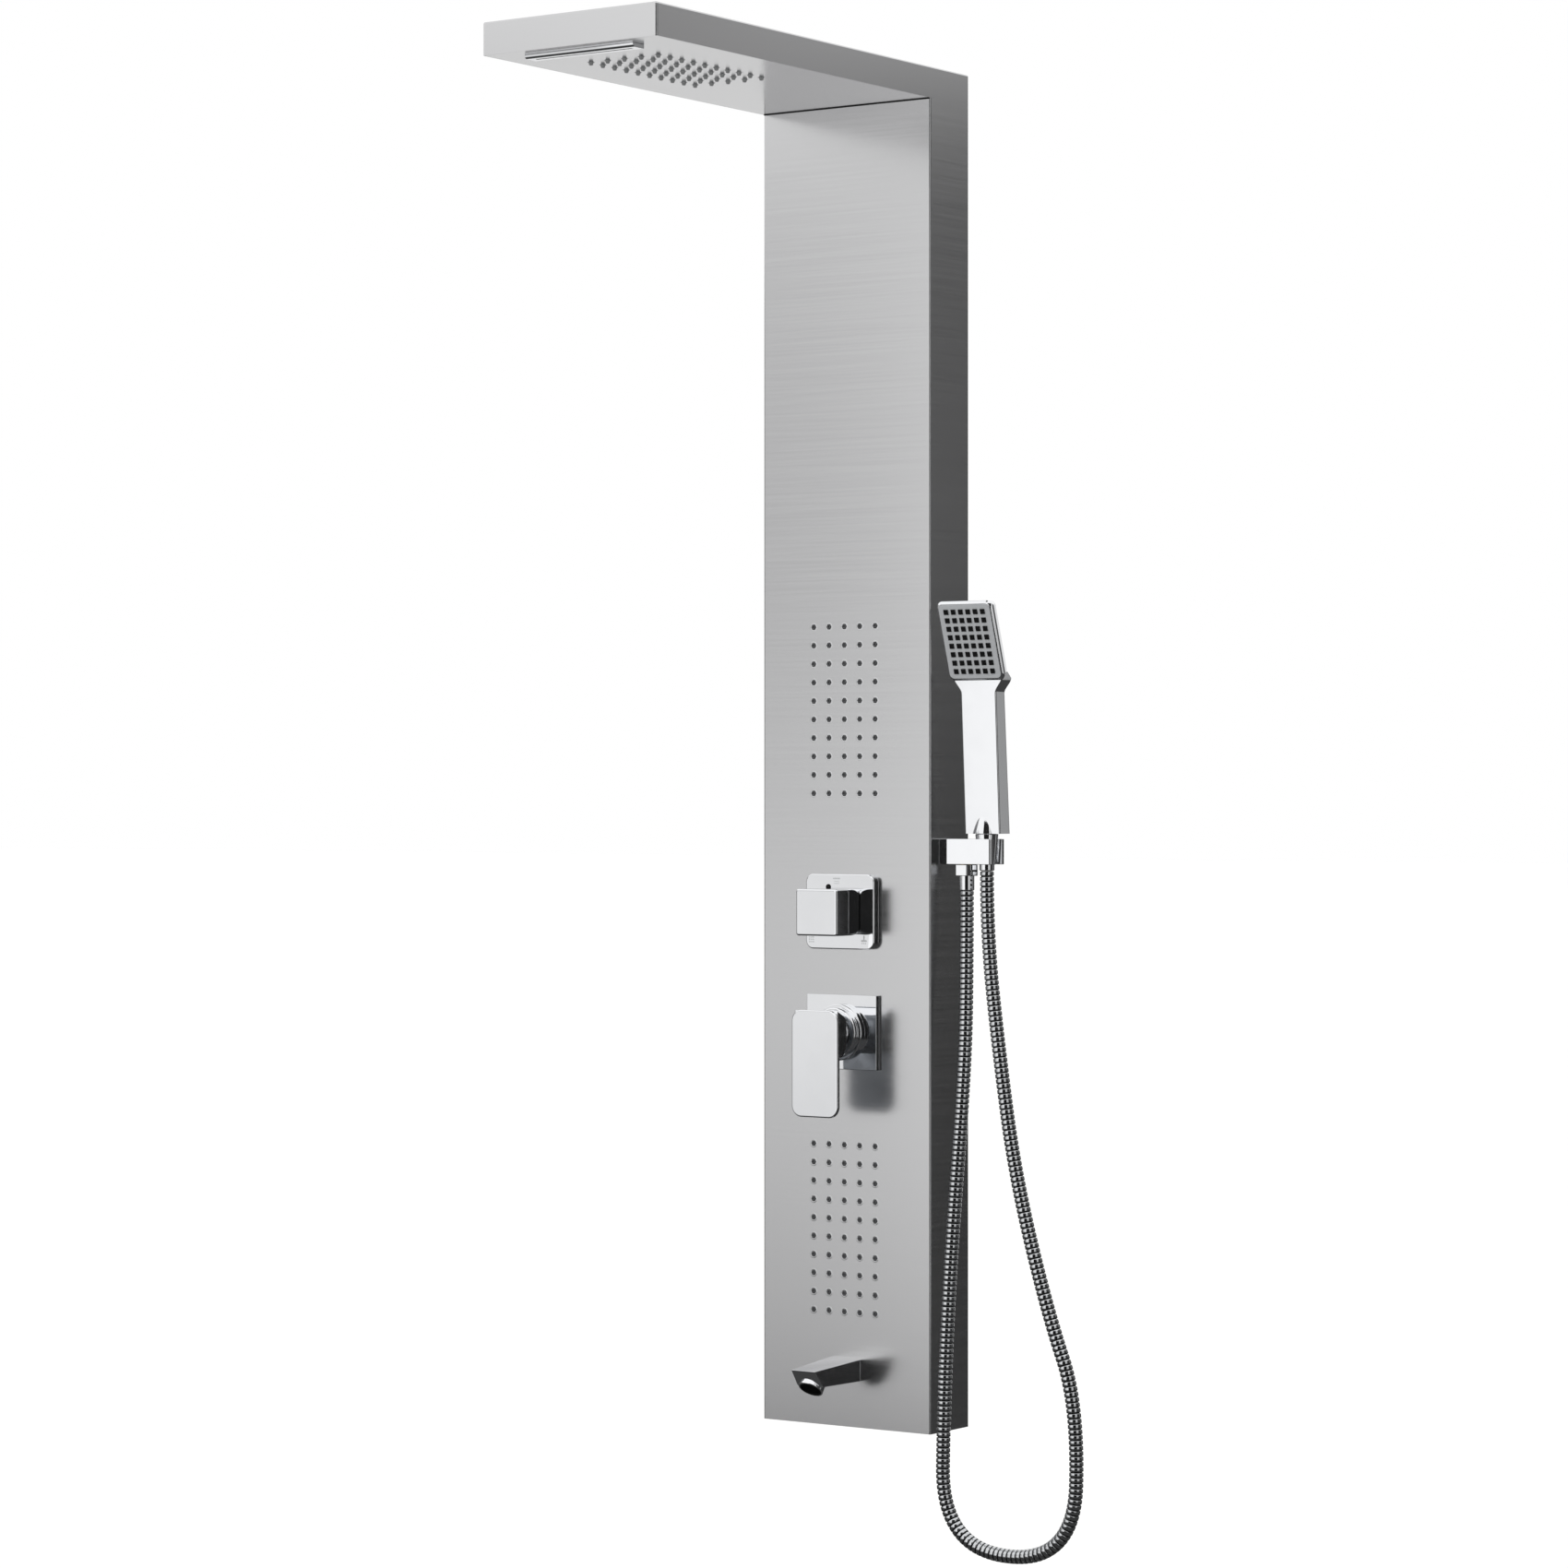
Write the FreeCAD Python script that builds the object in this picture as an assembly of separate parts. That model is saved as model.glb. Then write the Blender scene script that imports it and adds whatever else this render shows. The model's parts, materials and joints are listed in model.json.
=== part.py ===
"""Shower panel column: folded steel column with an overhead rain and waterfall arm, two fields of body jets,
a diverter knob, a lever mixer, a bath spout and a hand shower on a ribbed hose.

Frame: +X to the right as a bather sees the panel, +Y into the wall, +Z up.  The wall is the plane y = 0 and
z = 0 is the row of screw holes in the upper wall bracket.  Sizes are in millimetres.
"""
import FreeCAD
import Part
import math
import os

os.makedirs("parts", exist_ok=True)

# ---- Column and overhead arm -------------------------------------------------------------------------------
column_width = 200.0
column_depth = 70.0
column_height = 1310.0
overhead_reach = 520.0
overhead_thickness = 31.0
sheet = 1.2
fold_radius = 2.0
return_flange = 14.0
seam_gap = 0.2
supply_opening_width = 124.0
supply_opening_depth = 44.0
rim_height = 12.0
tab_width = 16.0
tab_length = 44.0
tab_bolt_radius = 2.5
tab_bolt_pitch = 28.0
tab_bolt_across = 8.0
tab_bolt_head = 3.5
pipe_opening_width = 96.0
pipe_opening_depth = 42.0

# ---- Fixing to the wall ------------------------------------------------------------------------------------
bracket_height = 1180.0
bracket_spacing = 1000.0
bracket_width = 156.0
bracket_plate_height = 36.0
bracket_sheet = 2.0
bracket_lip = 12.0
bracket_hole_radius = 2.75
bracket_hole_pitch = 120.0
hook_gap = 0.4
hanger_height = 40.0

# ---- Fits --------------------------------------------------------------------------------------------------
running_gap = 0.05
thread_gap = 0.1
hole_gap = 0.5
seat_gap = 0.15

# ---- Nozzle fields -----------------------------------------------------------------------------------------
centre_line = -2.0
jet_columns = 5
jet_rows = 10
jet_pitch_across = 18.4
jet_pitch_along = 18.4
upper_jet_height = 711.0
lower_jet_height = 196.5
jet_tip_radius = 2.7
jet_tip_end_radius = 2.3
jet_proud = 0.8
rain_pitch_across = 19.5
rain_pitch_along = 18.3
rain_from_front = 170.0
rain_tip_radius = 3.1
rain_tip_end_radius = 2.1
rain_proud = 3.0
nozzle_sides = 6
turn_sides = 24
ring_sides = 36
dome_steps = 6
nozzle_gap = 0.3
mat_thickness = 1.5
chamber_wall = 2.0
chamber_depth = 12.0
chamber_margin = 9.0
chamber_flange = 8.0
chamber_corner = 4.0
spigot_radius = 5.0
spigot_wall = 1.5
spigot_length = 12.0
jet_feed_across = 24.0
jet_link_across = 38.0
clamp_nut_across = 7.0
clamp_nut_height = 4.0

# ---- Waterfall outlet --------------------------------------------------------------------------------------
waterfall_from_front = 26.0
waterfall_length = 125.0
waterfall_lip_depth = 17.0
waterfall_proud = 4.0
waterfall_slot = 3.0
waterfall_lip_step = 3.0
waterfall_body_depth = 34.0
waterfall_body_height = 27.0
waterfall_body_end = 6.0
waterfall_pipe_rise = 22.0

# ---- Diverter ----------------------------------------------------------------------------------------------
diverter_height = 511.0
diverter_plate_width = 81.5
diverter_plate_height = 74.5
diverter_plate_thickness = 8.0
diverter_plate_radius = 8.5
diverter_neck_radius = 14.5
diverter_neck_out = 12.0
diverter_nut_radius = 17.8
diverter_nut_thickness = 5.0
diverter_body_radius = 24.0
diverter_body_depth = 44.0
diverter_cartridge_radius = 12.0
diverter_stem_radius = 4.0
diverter_port_wall = 2.0
diverter_port_pitch = 24.0
diverter_port_reach = 6.0
port_depth = 6.0
knob_width = 49.0
knob_height = 46.0
knob_front = 49.0
knob_taper = 3.0
knob_taper_depth = 13.0
knob_gap = 1.0
knob_edge = 2.0
knob_cap = 10.0

# ---- Mixer -------------------------------------------------------------------------------------------------
mixer_height = 391.5
mixer_plate_width = 83.0
mixer_plate_height = 74.0
mixer_plate_thickness = 5.0
mixer_neck_radius = 20.0
mixer_neck_out = 9.0
mixer_body_radius = 25.0
mixer_body_depth = 46.0
mixer_flange_radius = 28.0
mixer_flange_thickness = 4.0
mixer_bar_height = 19.0
cartridge_radius = 17.5
cartridge_length = 34.0
cartridge_nut_height = 5.0
turret_radius = 12.2
turret_depth = 9.0
turret_flange = 2.0
ear_height = 8.0
ring_outer_radius = 28.0
ring_step_radius = 25.0
ring_step = 7.0
ring_edge = 1.2
dome_radius = 18.5
dome_wall = 2.0
dome_gap = 0.4
pivot_out = 14.0
pivot_pin_radius = 1.5
pivot_pin_length = 20.0
lever_lift_angle = 25.0
lever_front = 52.0
lever_thickness = 4.0
lever_width = 55.0
lever_height = 105.5
lever_top = 23.5
lever_corner = 9.0
lever_block_width = 40.0
lever_block_height = 46.0
lever_stem_side = 7.0
lever_slot_gap = 0.5
lever_dome_gap = 0.7
stem_short = 3.0
grub_radius = 2.5
inlet_spacing = 76.0
inlet_thread_radius = 10.48
inlet_thread_length = 14.0
inlet_stem_radius = 7.5
inlet_stem_length = 9.0
inlet_wall = 1.8
inlet_collar_across = 26.0
inlet_collar_height = 7.0

# ---- Spout -------------------------------------------------------------------------------------------------
spout_height = 55.5
spout_root_width = 38.0
spout_nose_width = 28.0
spout_reach = 72.0
spout_rise = 12.0
spout_drop = 9.5
spout_tail_radius = 10.4
spout_tail_length = 22.0
spout_bore_radius = 5.5
spout_nut_across = 30.0
back_nut_height = 6.0
aerator_radius = 10.8
aerator_length = 12.0
aerator_out = 59.2
aerator_height = 42.5
aerator_tilt = 37.0
aerator_recess = 1.6
arch_gap = 1.5

# ---- Hand shower, its holder and hose ----------------------------------------------------------------------
side_fitting_depth = 41.0
holder_bottom = 558.7
holder_height = 25.0
holder_length = 60.0
holder_depth = 26.5
holder_corner = 3.0
outlet_from_side = 24.0
seat_from_side = 47.3
stud_radius = 8.0
stud_depth = 14.0
stud_inside = 18.0
stud_nut_across = 24.0
outlet_thread_radius = 9.3
outlet_thread_length = 4.5
outlet_stem_radius = 6.9
outlet_stem_length = 7.0
water_bore = 4.0
hose_diameter = 14.0
hose_groove_depth = 0.9
hose_bore = 8.0
hose_ribs = 48
hose_sides = 8
hose_end_run = 63.0
hose_end_gap = 0.3
hose_slot_gap = 1.2
ferrule_radius = 7.5
hose_nut_across = 21.5
hose_nut_height = 11.0
hose_nut_web = 3.0
lower_ferrule_length = 14.5
washer_thickness = 1.6
nut_top_radius = 11.4
nut_length = 30.0
nut_taper = 0.08
nut_above_holder = 4.8
ferrule_below_nut = 6.0
neck_gap = 0.3
# Vertices of the hanging hose between its two straight ends: out from the column's side, out from the
# wall, and height above the column's foot.
hose_hang = [
    (28.5, 51.0, 360.0), (18.5, 60.5, 190.0), (15.5, 69.0, 50.0), (16.0, 74.0, -109.0), (167.0, 74.0, -110.0),
    (169.0, 70.0, 42.0), (132.0, 65.5, 128.0), (91.0, 58.0, 255.0), (67.0, 50.0, 375.0),
]
handle_width = 40.5
handle_thickness = 17.0
handle_top_thickness = 15.0
handle_length = 149.0
handle_lean = 9.2
handle_corner = 2.0
shoulder_radius = 15.0
shoulder_steps = 5
neck_radius = 12.5
neck_height = 20.0
handset_thread_radius = 9.4
handset_thread_length = 9.0
head_width = 61.0
head_length = 77.5
head_depth = 16.0
head_tilt = 18.0
head_corner = 6.0
head_bevel = 2.6
head_step = 1.8
face_margin = 4.0
face_thickness = 2.4
face_proud = 0.4
face_columns = 6
face_rows = 8
face_pitch_across = 8.4
face_pitch_along = 8.6
face_nozzle_side = 5.0
face_nozzle_gap = 0.15
face_nozzle_proud = 0.8

# ---- Inner pipes -------------------------------------------------------------------------------------------
pipe_radius = 6.0
pipe_sides = 8
pipe_bend = 14.0
pipe_lane = 38.0
side_lane = 22.0
back_lane = 12.5
bend_facet = 0.55
hose_facet = 0.4

# ---- Worked out from the sizes above -----------------------------------------------------------------------
half_width = column_width / 2
inner_half = half_width - sheet
front = -column_depth
inner_front = front + sheet
fitting_y = -side_fitting_depth
pipe_y = front + pipe_lane
X_AXIS = FreeCAD.Vector(1, 0, 0)
Y_AXIS = FreeCAD.Vector(0, 1, 0)
Z_AXIS = FreeCAD.Vector(0, 0, 1)
ORIGIN = FreeCAD.Vector(0, 0, 0)


def vec(x, y, z):
    return FreeCAD.Vector(x, y, z)


def level(height):
    """Height above the column's foot, as z."""
    return height - bracket_height


# ---- Drawing helpers ---------------------------------------------------------------------------------------
def outline(points, radii, origin=ORIGIN, across=X_AXIS, along=Y_AXIS):
    """Closed wire through points given as (across, along) pairs, each corner rounded by its own radius."""
    corners = [origin + across * a + along * b for a, b in points]
    count = len(corners)
    ends = []
    for i, corner in enumerate(corners):
        if radii[i] == 0:
            ends.append((corner, None, corner))
            continue
        before = (corners[i - 1] - corner).normalize()
        after = (corners[(i + 1) % count] - corner).normalize()
        ends.append(rounded_corner(corner, before, after, radii[i]))
    edges = []
    for i, (start, middle, end) in enumerate(ends):
        if middle is not None:
            edges.append(Part.Arc(start, middle, end).toShape())
        following = ends[(i + 1) % count][0]
        if end.distanceToPoint(following) > 1e-6:
            edges.append(Part.LineSegment(end, following).toShape())
    return Part.Wire(edges)


def rounded_corner(corner, before, after, radius):
    """Start, middle and end of the arc that rounds a corner between two unit directions."""
    half_angle = before.getAngle(after) / 2
    bisector = (before + after).normalize()
    tangent = radius / math.tan(half_angle)
    middle = corner + bisector * (radius / math.sin(half_angle) - radius)
    return corner + before * tangent, middle, corner + after * tangent


def rectangle(width, height, radius, origin=ORIGIN, across=X_AXIS, along=Y_AXIS):
    """Rounded rectangle centred on origin."""
    w = width / 2
    h = height / 2
    return outline([(-w, -h), (w, -h), (w, h), (-w, h)], [radius] * 4, origin, across, along)


def polygon(sides, radius, origin=ORIGIN, across=X_AXIS, along=Y_AXIS):
    """Regular polygon with the given corner radius."""
    corners = corner_ring(sides, radius, origin, across, along)
    return Part.makePolygon(corners + corners[:1])


def prism(wire, travel):
    return Part.Face(wire).extrude(travel)


def box(x0, x1, y0, y1, z0, z1):
    return Part.makeBox(x1 - x0, y1 - y0, z1 - z0, vec(x0, y0, z0))


def cylinder(radius, start, end):
    return Part.makeCylinder(radius, (end - start).Length, start, end - start)


def hexagon(across_flats, base, travel, across=X_AXIS, along=Y_AXIS):
    corner = across_flats / 2 / math.cos(math.pi / 6)
    return prism(polygon(6, corner, base, across, along), travel)


def outward(z, out, x=centre_line):
    """Point at a distance in front of the column's face."""
    return vec(x, front - out, z)


def barrel(z, radius, near, far):
    """Cylinder on the fittings' centre line, square to the column's face, between two distances from it."""
    return cylinder(radius, outward(z, near), outward(z, far))


def cutter(z, radius, near, far):
    """Many-sided bore on the fittings' centre line, between two distances from the column's face."""
    return bore(radius, outward(z, near), outward(z, far))


def solid_of(faces):
    """Closed solid of flat faces, with coplanar neighbours merged."""
    solid = Part.makeSolid(Part.makeShell(faces))
    if solid.Volume < 0:
        solid.reverse()
    return solid.removeSplitter()


def flat_face(corners):
    """Flat face through corners, leaving out those that coincide."""
    kept = [p for i, p in enumerate(corners) if p.distanceToPoint(corners[i - 1]) > 1e-6]
    return Part.Face(Part.makePolygon(kept + kept[:1]))


def stacked(rings, caps=True):
    """Solid through rings of corners, one above the other; without caps the last ring joins the first."""
    faces = []
    following = rings[1:] if caps else rings[1:] + rings[:1]
    for low, high in zip(rings, following):
        for i in range(len(low)):
            faces += band_faces(low[i - 1], low[i], high[i], high[i - 1])
    if caps:
        ends = (rings[0], rings[-1])
        faces += [flat_face(ring) for ring in ends if ring[0].distanceToPoint(ring[1]) > 1e-6]
    return solid_of(faces)


def band_faces(a, b, c, d):
    """One flat face through four corners, or two where they don't lie in a plane or meet at a point."""
    if a.distanceToPoint(b) < 1e-6 and c.distanceToPoint(d) < 1e-6:
        return []
    if abs((b - a).cross(c - a).dot(d - a)) < 1e-6:
        return [flat_face([a, b, c, d])]
    return [flat_face([a, b, c]), flat_face([a, c, d])]


def corner_ring(sides, radius, origin, across, along):
    turns = [2 * math.pi * i / sides for i in range(sides)]
    return [origin + across * (radius * math.cos(t)) + along * (radius * math.sin(t)) for t in turns]


def turned(profile, base, axis, across, sides=turn_sides):
    """Many-sided turned solid; profile is (along, radius) pairs, from axis to axis or in a closed ring."""
    along = axis.cross(across)
    rings = [corner_ring(sides, radius, base + axis * step, across, along) for step, radius in profile]
    return stacked(rings, caps=profile[0][1] == 0)


def disc(radius, start, end, sides=turn_sides):
    """Many-sided cylinder inside the given radius."""
    axis = (end - start).normalize()
    across, along = steady_axes(axis, Z_AXIS if abs(axis.z) < 0.9 else X_AXIS)
    return prism(polygon(sides, radius, start, across, along), end - start)


def bore(radius, start, end, sides=turn_sides):
    """Many-sided cutter outside the given radius."""
    return disc(radius / math.cos(math.pi / sides), start, end, sides)


def facing(profile, z):
    """Many-sided turned solid on the fittings' centre line; profile is (out, radius) pairs."""
    return turned(profile, outward(z, 0), -Y_AXIS, X_AXIS)


def path_edges(points, bends):
    """Straight runs joined by tangent arcs; bends holds the radius at each inner point."""
    edges = []
    start = points[0]
    for i in range(1, len(points) - 1):
        before = (points[i - 1] - points[i]).normalize()
        after = (points[i + 1] - points[i]).normalize()
        arc_start, middle, arc_end = rounded_corner(points[i], before, after, bends[i - 1])
        edges.append(Part.LineSegment(start, arc_start).toShape())
        edges.append(Part.Arc(arc_start, middle, arc_end).toShape())
        start = arc_end
    edges.append(Part.LineSegment(start, points[-1]).toShape())
    return edges


def steady_axes(direction, steady):
    """Two axes square to direction, the first as near to the steady axis as it can be."""
    first = (steady - direction * steady.dot(direction)).normalize()
    return first, direction.cross(first)


def along_path(edges, facet):
    """Points and directions where a pipe's rings stand: the ends of its runs and steps of a bend."""
    rings = [(edges[0].valueAt(edges[0].FirstParameter), edges[0].tangentAt(edges[0].FirstParameter))]
    for i, edge in enumerate(edges):
        steps = 1
        if i % 2:
            steps = math.ceil(edge.Length / edge.Curve.Radius / facet)
        for step in range(1, steps + 1):
            place = edge.FirstParameter + (edge.LastParameter - edge.FirstParameter) * step / steps
            rings.append((edge.valueAt(place), edge.tangentAt(place)))
    return rings


def pipe_rings(points, radius, bends, facet):
    """Rings of a pipe along straight runs and arcs, its sides carried round the bends without a twist."""
    edges = path_edges(points, bends)
    across = X_AXIS if abs((points[1] - points[0]).normalize().x) < 0.9 else Y_AXIS
    rings = []
    for place, direction in along_path(edges, facet):
        across, along = steady_axes(direction, across)
        rings.append(corner_ring(pipe_sides, radius, place, across, along))
    return rings


def pipe(points):
    """Eight-sided pipe of flat faces."""
    return stacked(pipe_rings(points, pipe_radius, [pipe_bend] * (len(points) - 2), bend_facet))


# ---- Column and overhead arm -------------------------------------------------------------------------------
def column_shell():
    """Folded channel with return flanges, tabs for the arm, nozzle holes and holes for the fittings."""
    lip = half_width - return_flange
    points = [
        (-half_width, 0), (-half_width, front), (half_width, front), (half_width, 0), (lip, 0), (lip, -sheet),
        (inner_half, -sheet), (inner_half, inner_front), (-inner_half, inner_front), (-inner_half, -sheet),
        (-lip, -sheet), (-lip, 0),
    ]
    inside = fold_radius - sheet
    radii = [fold_radius] * 4 + [0, 0] + [inside] * 4 + [0, 0]
    shell = prism(outline(points, radii, vec(0, 0, level(0))), Z_AXIS * column_height)
    top = level(column_height)
    for side in (-1, 1):
        x = side * (inner_half - tab_width / 2)
        tab = rectangle(tab_width, tab_length, 0, vec(x, front / 2, top - sheet))
        shell = shell.fuse(prism(tab, Z_AXIS * sheet))
    cutters = [
        on_front(field_holes(jet_pitch_across, jet_pitch_along, jet_tip_radius), upper_jet_height),
        on_front(field_holes(jet_pitch_across, jet_pitch_along, jet_tip_radius), lower_jet_height),
        cutter(level(diverter_height), diverter_neck_radius + hole_gap, -2 * sheet, sheet),
        cutter(level(mixer_height), mixer_neck_radius + hole_gap, -2 * sheet, sheet),
        cutter(level(spout_height), spout_tail_radius + hole_gap, -2 * sheet, sheet),
        bore(stud_radius + hole_gap, stud_point(-2 * sheet), stud_point(sheet)),
    ]
    cutters += tab_bolt_holes()
    return shell.cut(cutters).removeSplitter()


def tab_bolt_points():
    """Where the arm's bolts cross the column's top edge."""
    x = inner_half - tab_width / 2
    top = level(column_height)
    return [vec(a * x, front / 2 + b * tab_bolt_pitch / 2, top) for a in (-1, 1) for b in (-1, 1)]


def tab_bolt_holes():
    through = Z_AXIS * 2 * sheet
    return [bore(tab_bolt_radius + hole_gap, p - through, p + through, 8) for p in tab_bolt_points()]


def tray(width, near, far, foot, open_back):
    """Folded tray with upturned rims between two depths, its back rim left off where open_back is true."""
    depth = far - near
    inside = depth if open_back else depth - 2 * sheet
    middle = (near + far) / 2
    shift = sheet if open_back else 0
    outer = prism(rectangle(width, depth, fold_radius, vec(0, middle, foot)), Z_AXIS * rim_height)
    hollow = rectangle(width - 2 * sheet, inside, fold_radius - sheet, vec(0, middle + shift, foot + sheet))
    return outer.cut(prism(hollow, Z_AXIS * rim_height))


def column_end_plate():
    """Folded plate across the column's foot, with an opening below the inlets for the supply hoses."""
    width = 2 * (inner_half - seam_gap)
    plate = tray(width, inner_front + seam_gap, -sheet - seam_gap, level(0), True)
    below = vec(centre_line, pipe_y, level(-1))
    opening = rectangle(supply_opening_width, supply_opening_depth, 0, below)
    return plate.cut(prism(opening, Z_AXIS * (2 * sheet + 1)))


def overhead_shell():
    """Pressed cover of the arm: a shallow box, open below, with softened edges."""
    base = level(column_height)
    middle = vec(0, -overhead_reach / 2, base)
    outer = prism(rectangle(column_width, overhead_reach, fold_radius, middle), Z_AXIS * overhead_thickness)
    upper = [e for e in outer.Edges if e.BoundBox.ZMin > base + overhead_thickness - 0.01]
    outer = outer.makeFillet(0.9 * fold_radius, upper)
    width = column_width - 2 * sheet
    reach = overhead_reach - 2 * sheet
    hollow = rectangle(width, reach, fold_radius - sheet, middle)
    return outer.cut(prism(hollow, Z_AXIS * (overhead_thickness - sheet)))


def overhead_underside():
    """Tray let into the arm from below: nozzle holes, waterfall slot and the way through for the pipes."""
    base = level(column_height)
    width = 2 * (inner_half - seam_gap)
    plate = tray(width, -overhead_reach + sheet + seam_gap, -sheet - seam_gap, base, False)
    length = waterfall_length - 2 * waterfall_lip_step + hole_gap
    depth = waterfall_lip_depth - 2 * waterfall_lip_step + hole_gap
    lip_hole = rectangle(length, depth, 0, vec(centre_line, waterfall_y(), base - sheet))
    pipe_hole = rectangle(pipe_opening_width, pipe_opening_depth, 0, vec(0, front / 2, base - sheet))
    cutters = [
        under_arm(field_holes(rain_pitch_across, rain_pitch_along, rain_tip_radius)),
        prism(lip_hole, Z_AXIS * 3 * sheet),
        prism(pipe_hole, Z_AXIS * 3 * sheet),
    ]
    cutters += tab_bolt_holes()
    return plate.cut(cutters)


def overhead_bolts():
    """Four hexagon bolts with nuts that hold the arm on the column's tabs."""
    bolts = []
    for p in tab_bolt_points():
        seat = p - Z_AXIS * sheet
        head = hexagon(tab_bolt_across, seat - Z_AXIS * tab_bolt_head, Z_AXIS * tab_bolt_head)
        shank = disc(tab_bolt_radius, seat, p + Z_AXIS * (sheet + 1.5 * tab_bolt_head), 8)
        nut = hexagon(tab_bolt_across, p + Z_AXIS * sheet, Z_AXIS * tab_bolt_head)
        bolts.append(head.fuse([shank, nut]))
    return Part.makeCompound(bolts)


# ---- Nozzle fields -----------------------------------------------------------------------------------------
def on_front(shape, height):
    """Stands a shape on the column's front: it is drawn flat, z pointing out of the sheet's inner face."""
    stood = shape.copy()
    stood.rotate(ORIGIN, X_AXIS, 90)
    stood.translate(vec(centre_line, inner_front, level(height)))
    return stood


def under_arm(shape):
    """Turns a shape drawn flat so that it looks down out of the arm's underside."""
    hung = shape.copy()
    hung.rotate(ORIGIN, X_AXIS, 180)
    hung.translate(vec(centre_line, rain_y(), level(column_height) + sheet))
    return hung


def rain_y():
    """Depth of the rain field's centre."""
    return -overhead_reach + rain_from_front


def waterfall_y():
    """Depth of the waterfall lip's centre."""
    return -overhead_reach + waterfall_from_front


def chamber_size(pitch_across, pitch_along):
    """Width and length of the water chamber behind a field of nozzles."""
    width = (jet_columns - 1) * pitch_across + 2 * chamber_margin
    return width, (jet_rows - 1) * pitch_along + 2 * chamber_margin


def field_places(pitch_across, pitch_along):
    """Nozzle centres of one field, from the field's own centre."""
    places = []
    for row in range(jet_rows):
        for column in range(jet_columns):
            across = (column - (jet_columns - 1) / 2) * pitch_across
            places.append((across, (row - (jet_rows - 1) / 2) * pitch_along))
    return places


def field_holes(pitch_across, pitch_along, tip_radius):
    """Nozzle holes of one field, drawn flat through the sheet."""
    holes = []
    for across, along in field_places(pitch_across, pitch_along):
        mouth = polygon(nozzle_sides, tip_radius + nozzle_gap, vec(across, along, -sheet))
        holes.append(prism(mouth, Z_AXIS * 3 * sheet))
    return Part.makeCompound(holes)


def nozzle_mat(pitch_across, pitch_along, tip_radius, end_radius, proud):
    """Silicone mat, drawn flat, with tapered tips that stand through the sheet."""
    width, length = chamber_size(pitch_across, pitch_along)
    border = 2 * chamber_flange
    foot = vec(0, 0, -mat_thickness)
    mat = prism(rectangle(width + border, length + border, chamber_corner, foot), Z_AXIS * mat_thickness)
    tips = []
    for across, along in field_places(pitch_across, pitch_along):
        root = corner_ring(nozzle_sides, tip_radius, vec(across, along, 0), X_AXIS, Y_AXIS)
        end = corner_ring(nozzle_sides, end_radius, vec(across, along, sheet + proud), X_AXIS, Y_AXIS)
        tips.append(stacked([root, end]))
    return mat.fuse(tips).removeSplitter()


def water_chamber(pitch_across, pitch_along, spigots):
    """Moulded lid behind a mat, flanged all round; a spigot is (across, end), at the lid's -1 or +1 end."""
    width, length = chamber_size(pitch_across, pitch_along)
    border = 2 * chamber_flange
    seat = -mat_thickness
    back = vec(0, 0, seat - chamber_depth)
    inner = back + Z_AXIS * chamber_wall
    rim = vec(0, 0, seat - chamber_wall)
    flange = prism(rectangle(width + border, length + border, chamber_corner, rim), Z_AXIS * chamber_wall)
    dome = prism(rectangle(width, length, 0, back), Z_AXIS * (chamber_depth - chamber_wall / 2))
    room = rectangle(width - 2 * chamber_wall, length - 2 * chamber_wall, 0, inner)
    lid = flange.fuse(dome)
    bores = [prism(room, Z_AXIS * chamber_depth)]
    for across, end in spigots:
        root = vec(across, end * (length / 2 - chamber_wall / 2), seat - chamber_depth / 2)
        mouth = vec(across, end * (length / 2 + spigot_length), root.z)
        lid = lid.fuse(disc(spigot_radius, root, mouth, 12))
        beyond = Y_AXIS * end * chamber_wall
        bores.append(disc(spigot_radius - spigot_wall, root - beyond, mouth + beyond, 12))
    return lid.cut(bores).removeSplitter()


def chamber_nuts():
    """Nuts that clamp the three chambers, one at each corner of a flange."""
    nuts = []
    seat = -mat_thickness - chamber_wall - clamp_nut_height
    fields = [
        (jet_pitch_across, jet_pitch_along, lambda nut: on_front(nut, upper_jet_height)),
        (jet_pitch_across, jet_pitch_along, lambda nut: on_front(nut, lower_jet_height)),
        (rain_pitch_across, rain_pitch_along, under_arm),
    ]
    for pitch_across, pitch_along, place in fields:
        width, length = chamber_size(pitch_across, pitch_along)
        for side in (-1, 1):
            for end in (-1, 1):
                x = side * (width + chamber_flange) / 2
                y = end * (length + chamber_flange) / 2
                nuts.append(place(hexagon(clamp_nut_across, vec(x, y, seat), Z_AXIS * clamp_nut_height)))
    return Part.makeCompound(nuts)


def upper_jet_mat():
    mat = nozzle_mat(jet_pitch_across, jet_pitch_along, jet_tip_radius, jet_tip_end_radius, jet_proud)
    return on_front(mat, upper_jet_height)


def lower_jet_mat():
    mat = nozzle_mat(jet_pitch_across, jet_pitch_along, jet_tip_radius, jet_tip_end_radius, jet_proud)
    return on_front(mat, lower_jet_height)


def rain_mat():
    mat = nozzle_mat(rain_pitch_across, rain_pitch_along, rain_tip_radius, rain_tip_end_radius, rain_proud)
    return under_arm(mat)


def upper_jet_chamber():
    spigots = [(jet_feed_across, -1), (jet_link_across, -1)]
    return on_front(water_chamber(jet_pitch_across, jet_pitch_along, spigots), upper_jet_height)


def lower_jet_chamber():
    spigots = [(jet_link_across, 1)]
    return on_front(water_chamber(jet_pitch_across, jet_pitch_along, spigots), lower_jet_height)


def rain_chamber():
    return under_arm(water_chamber(rain_pitch_across, rain_pitch_along, [(-diverter_port_pitch, -1)]))


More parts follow.
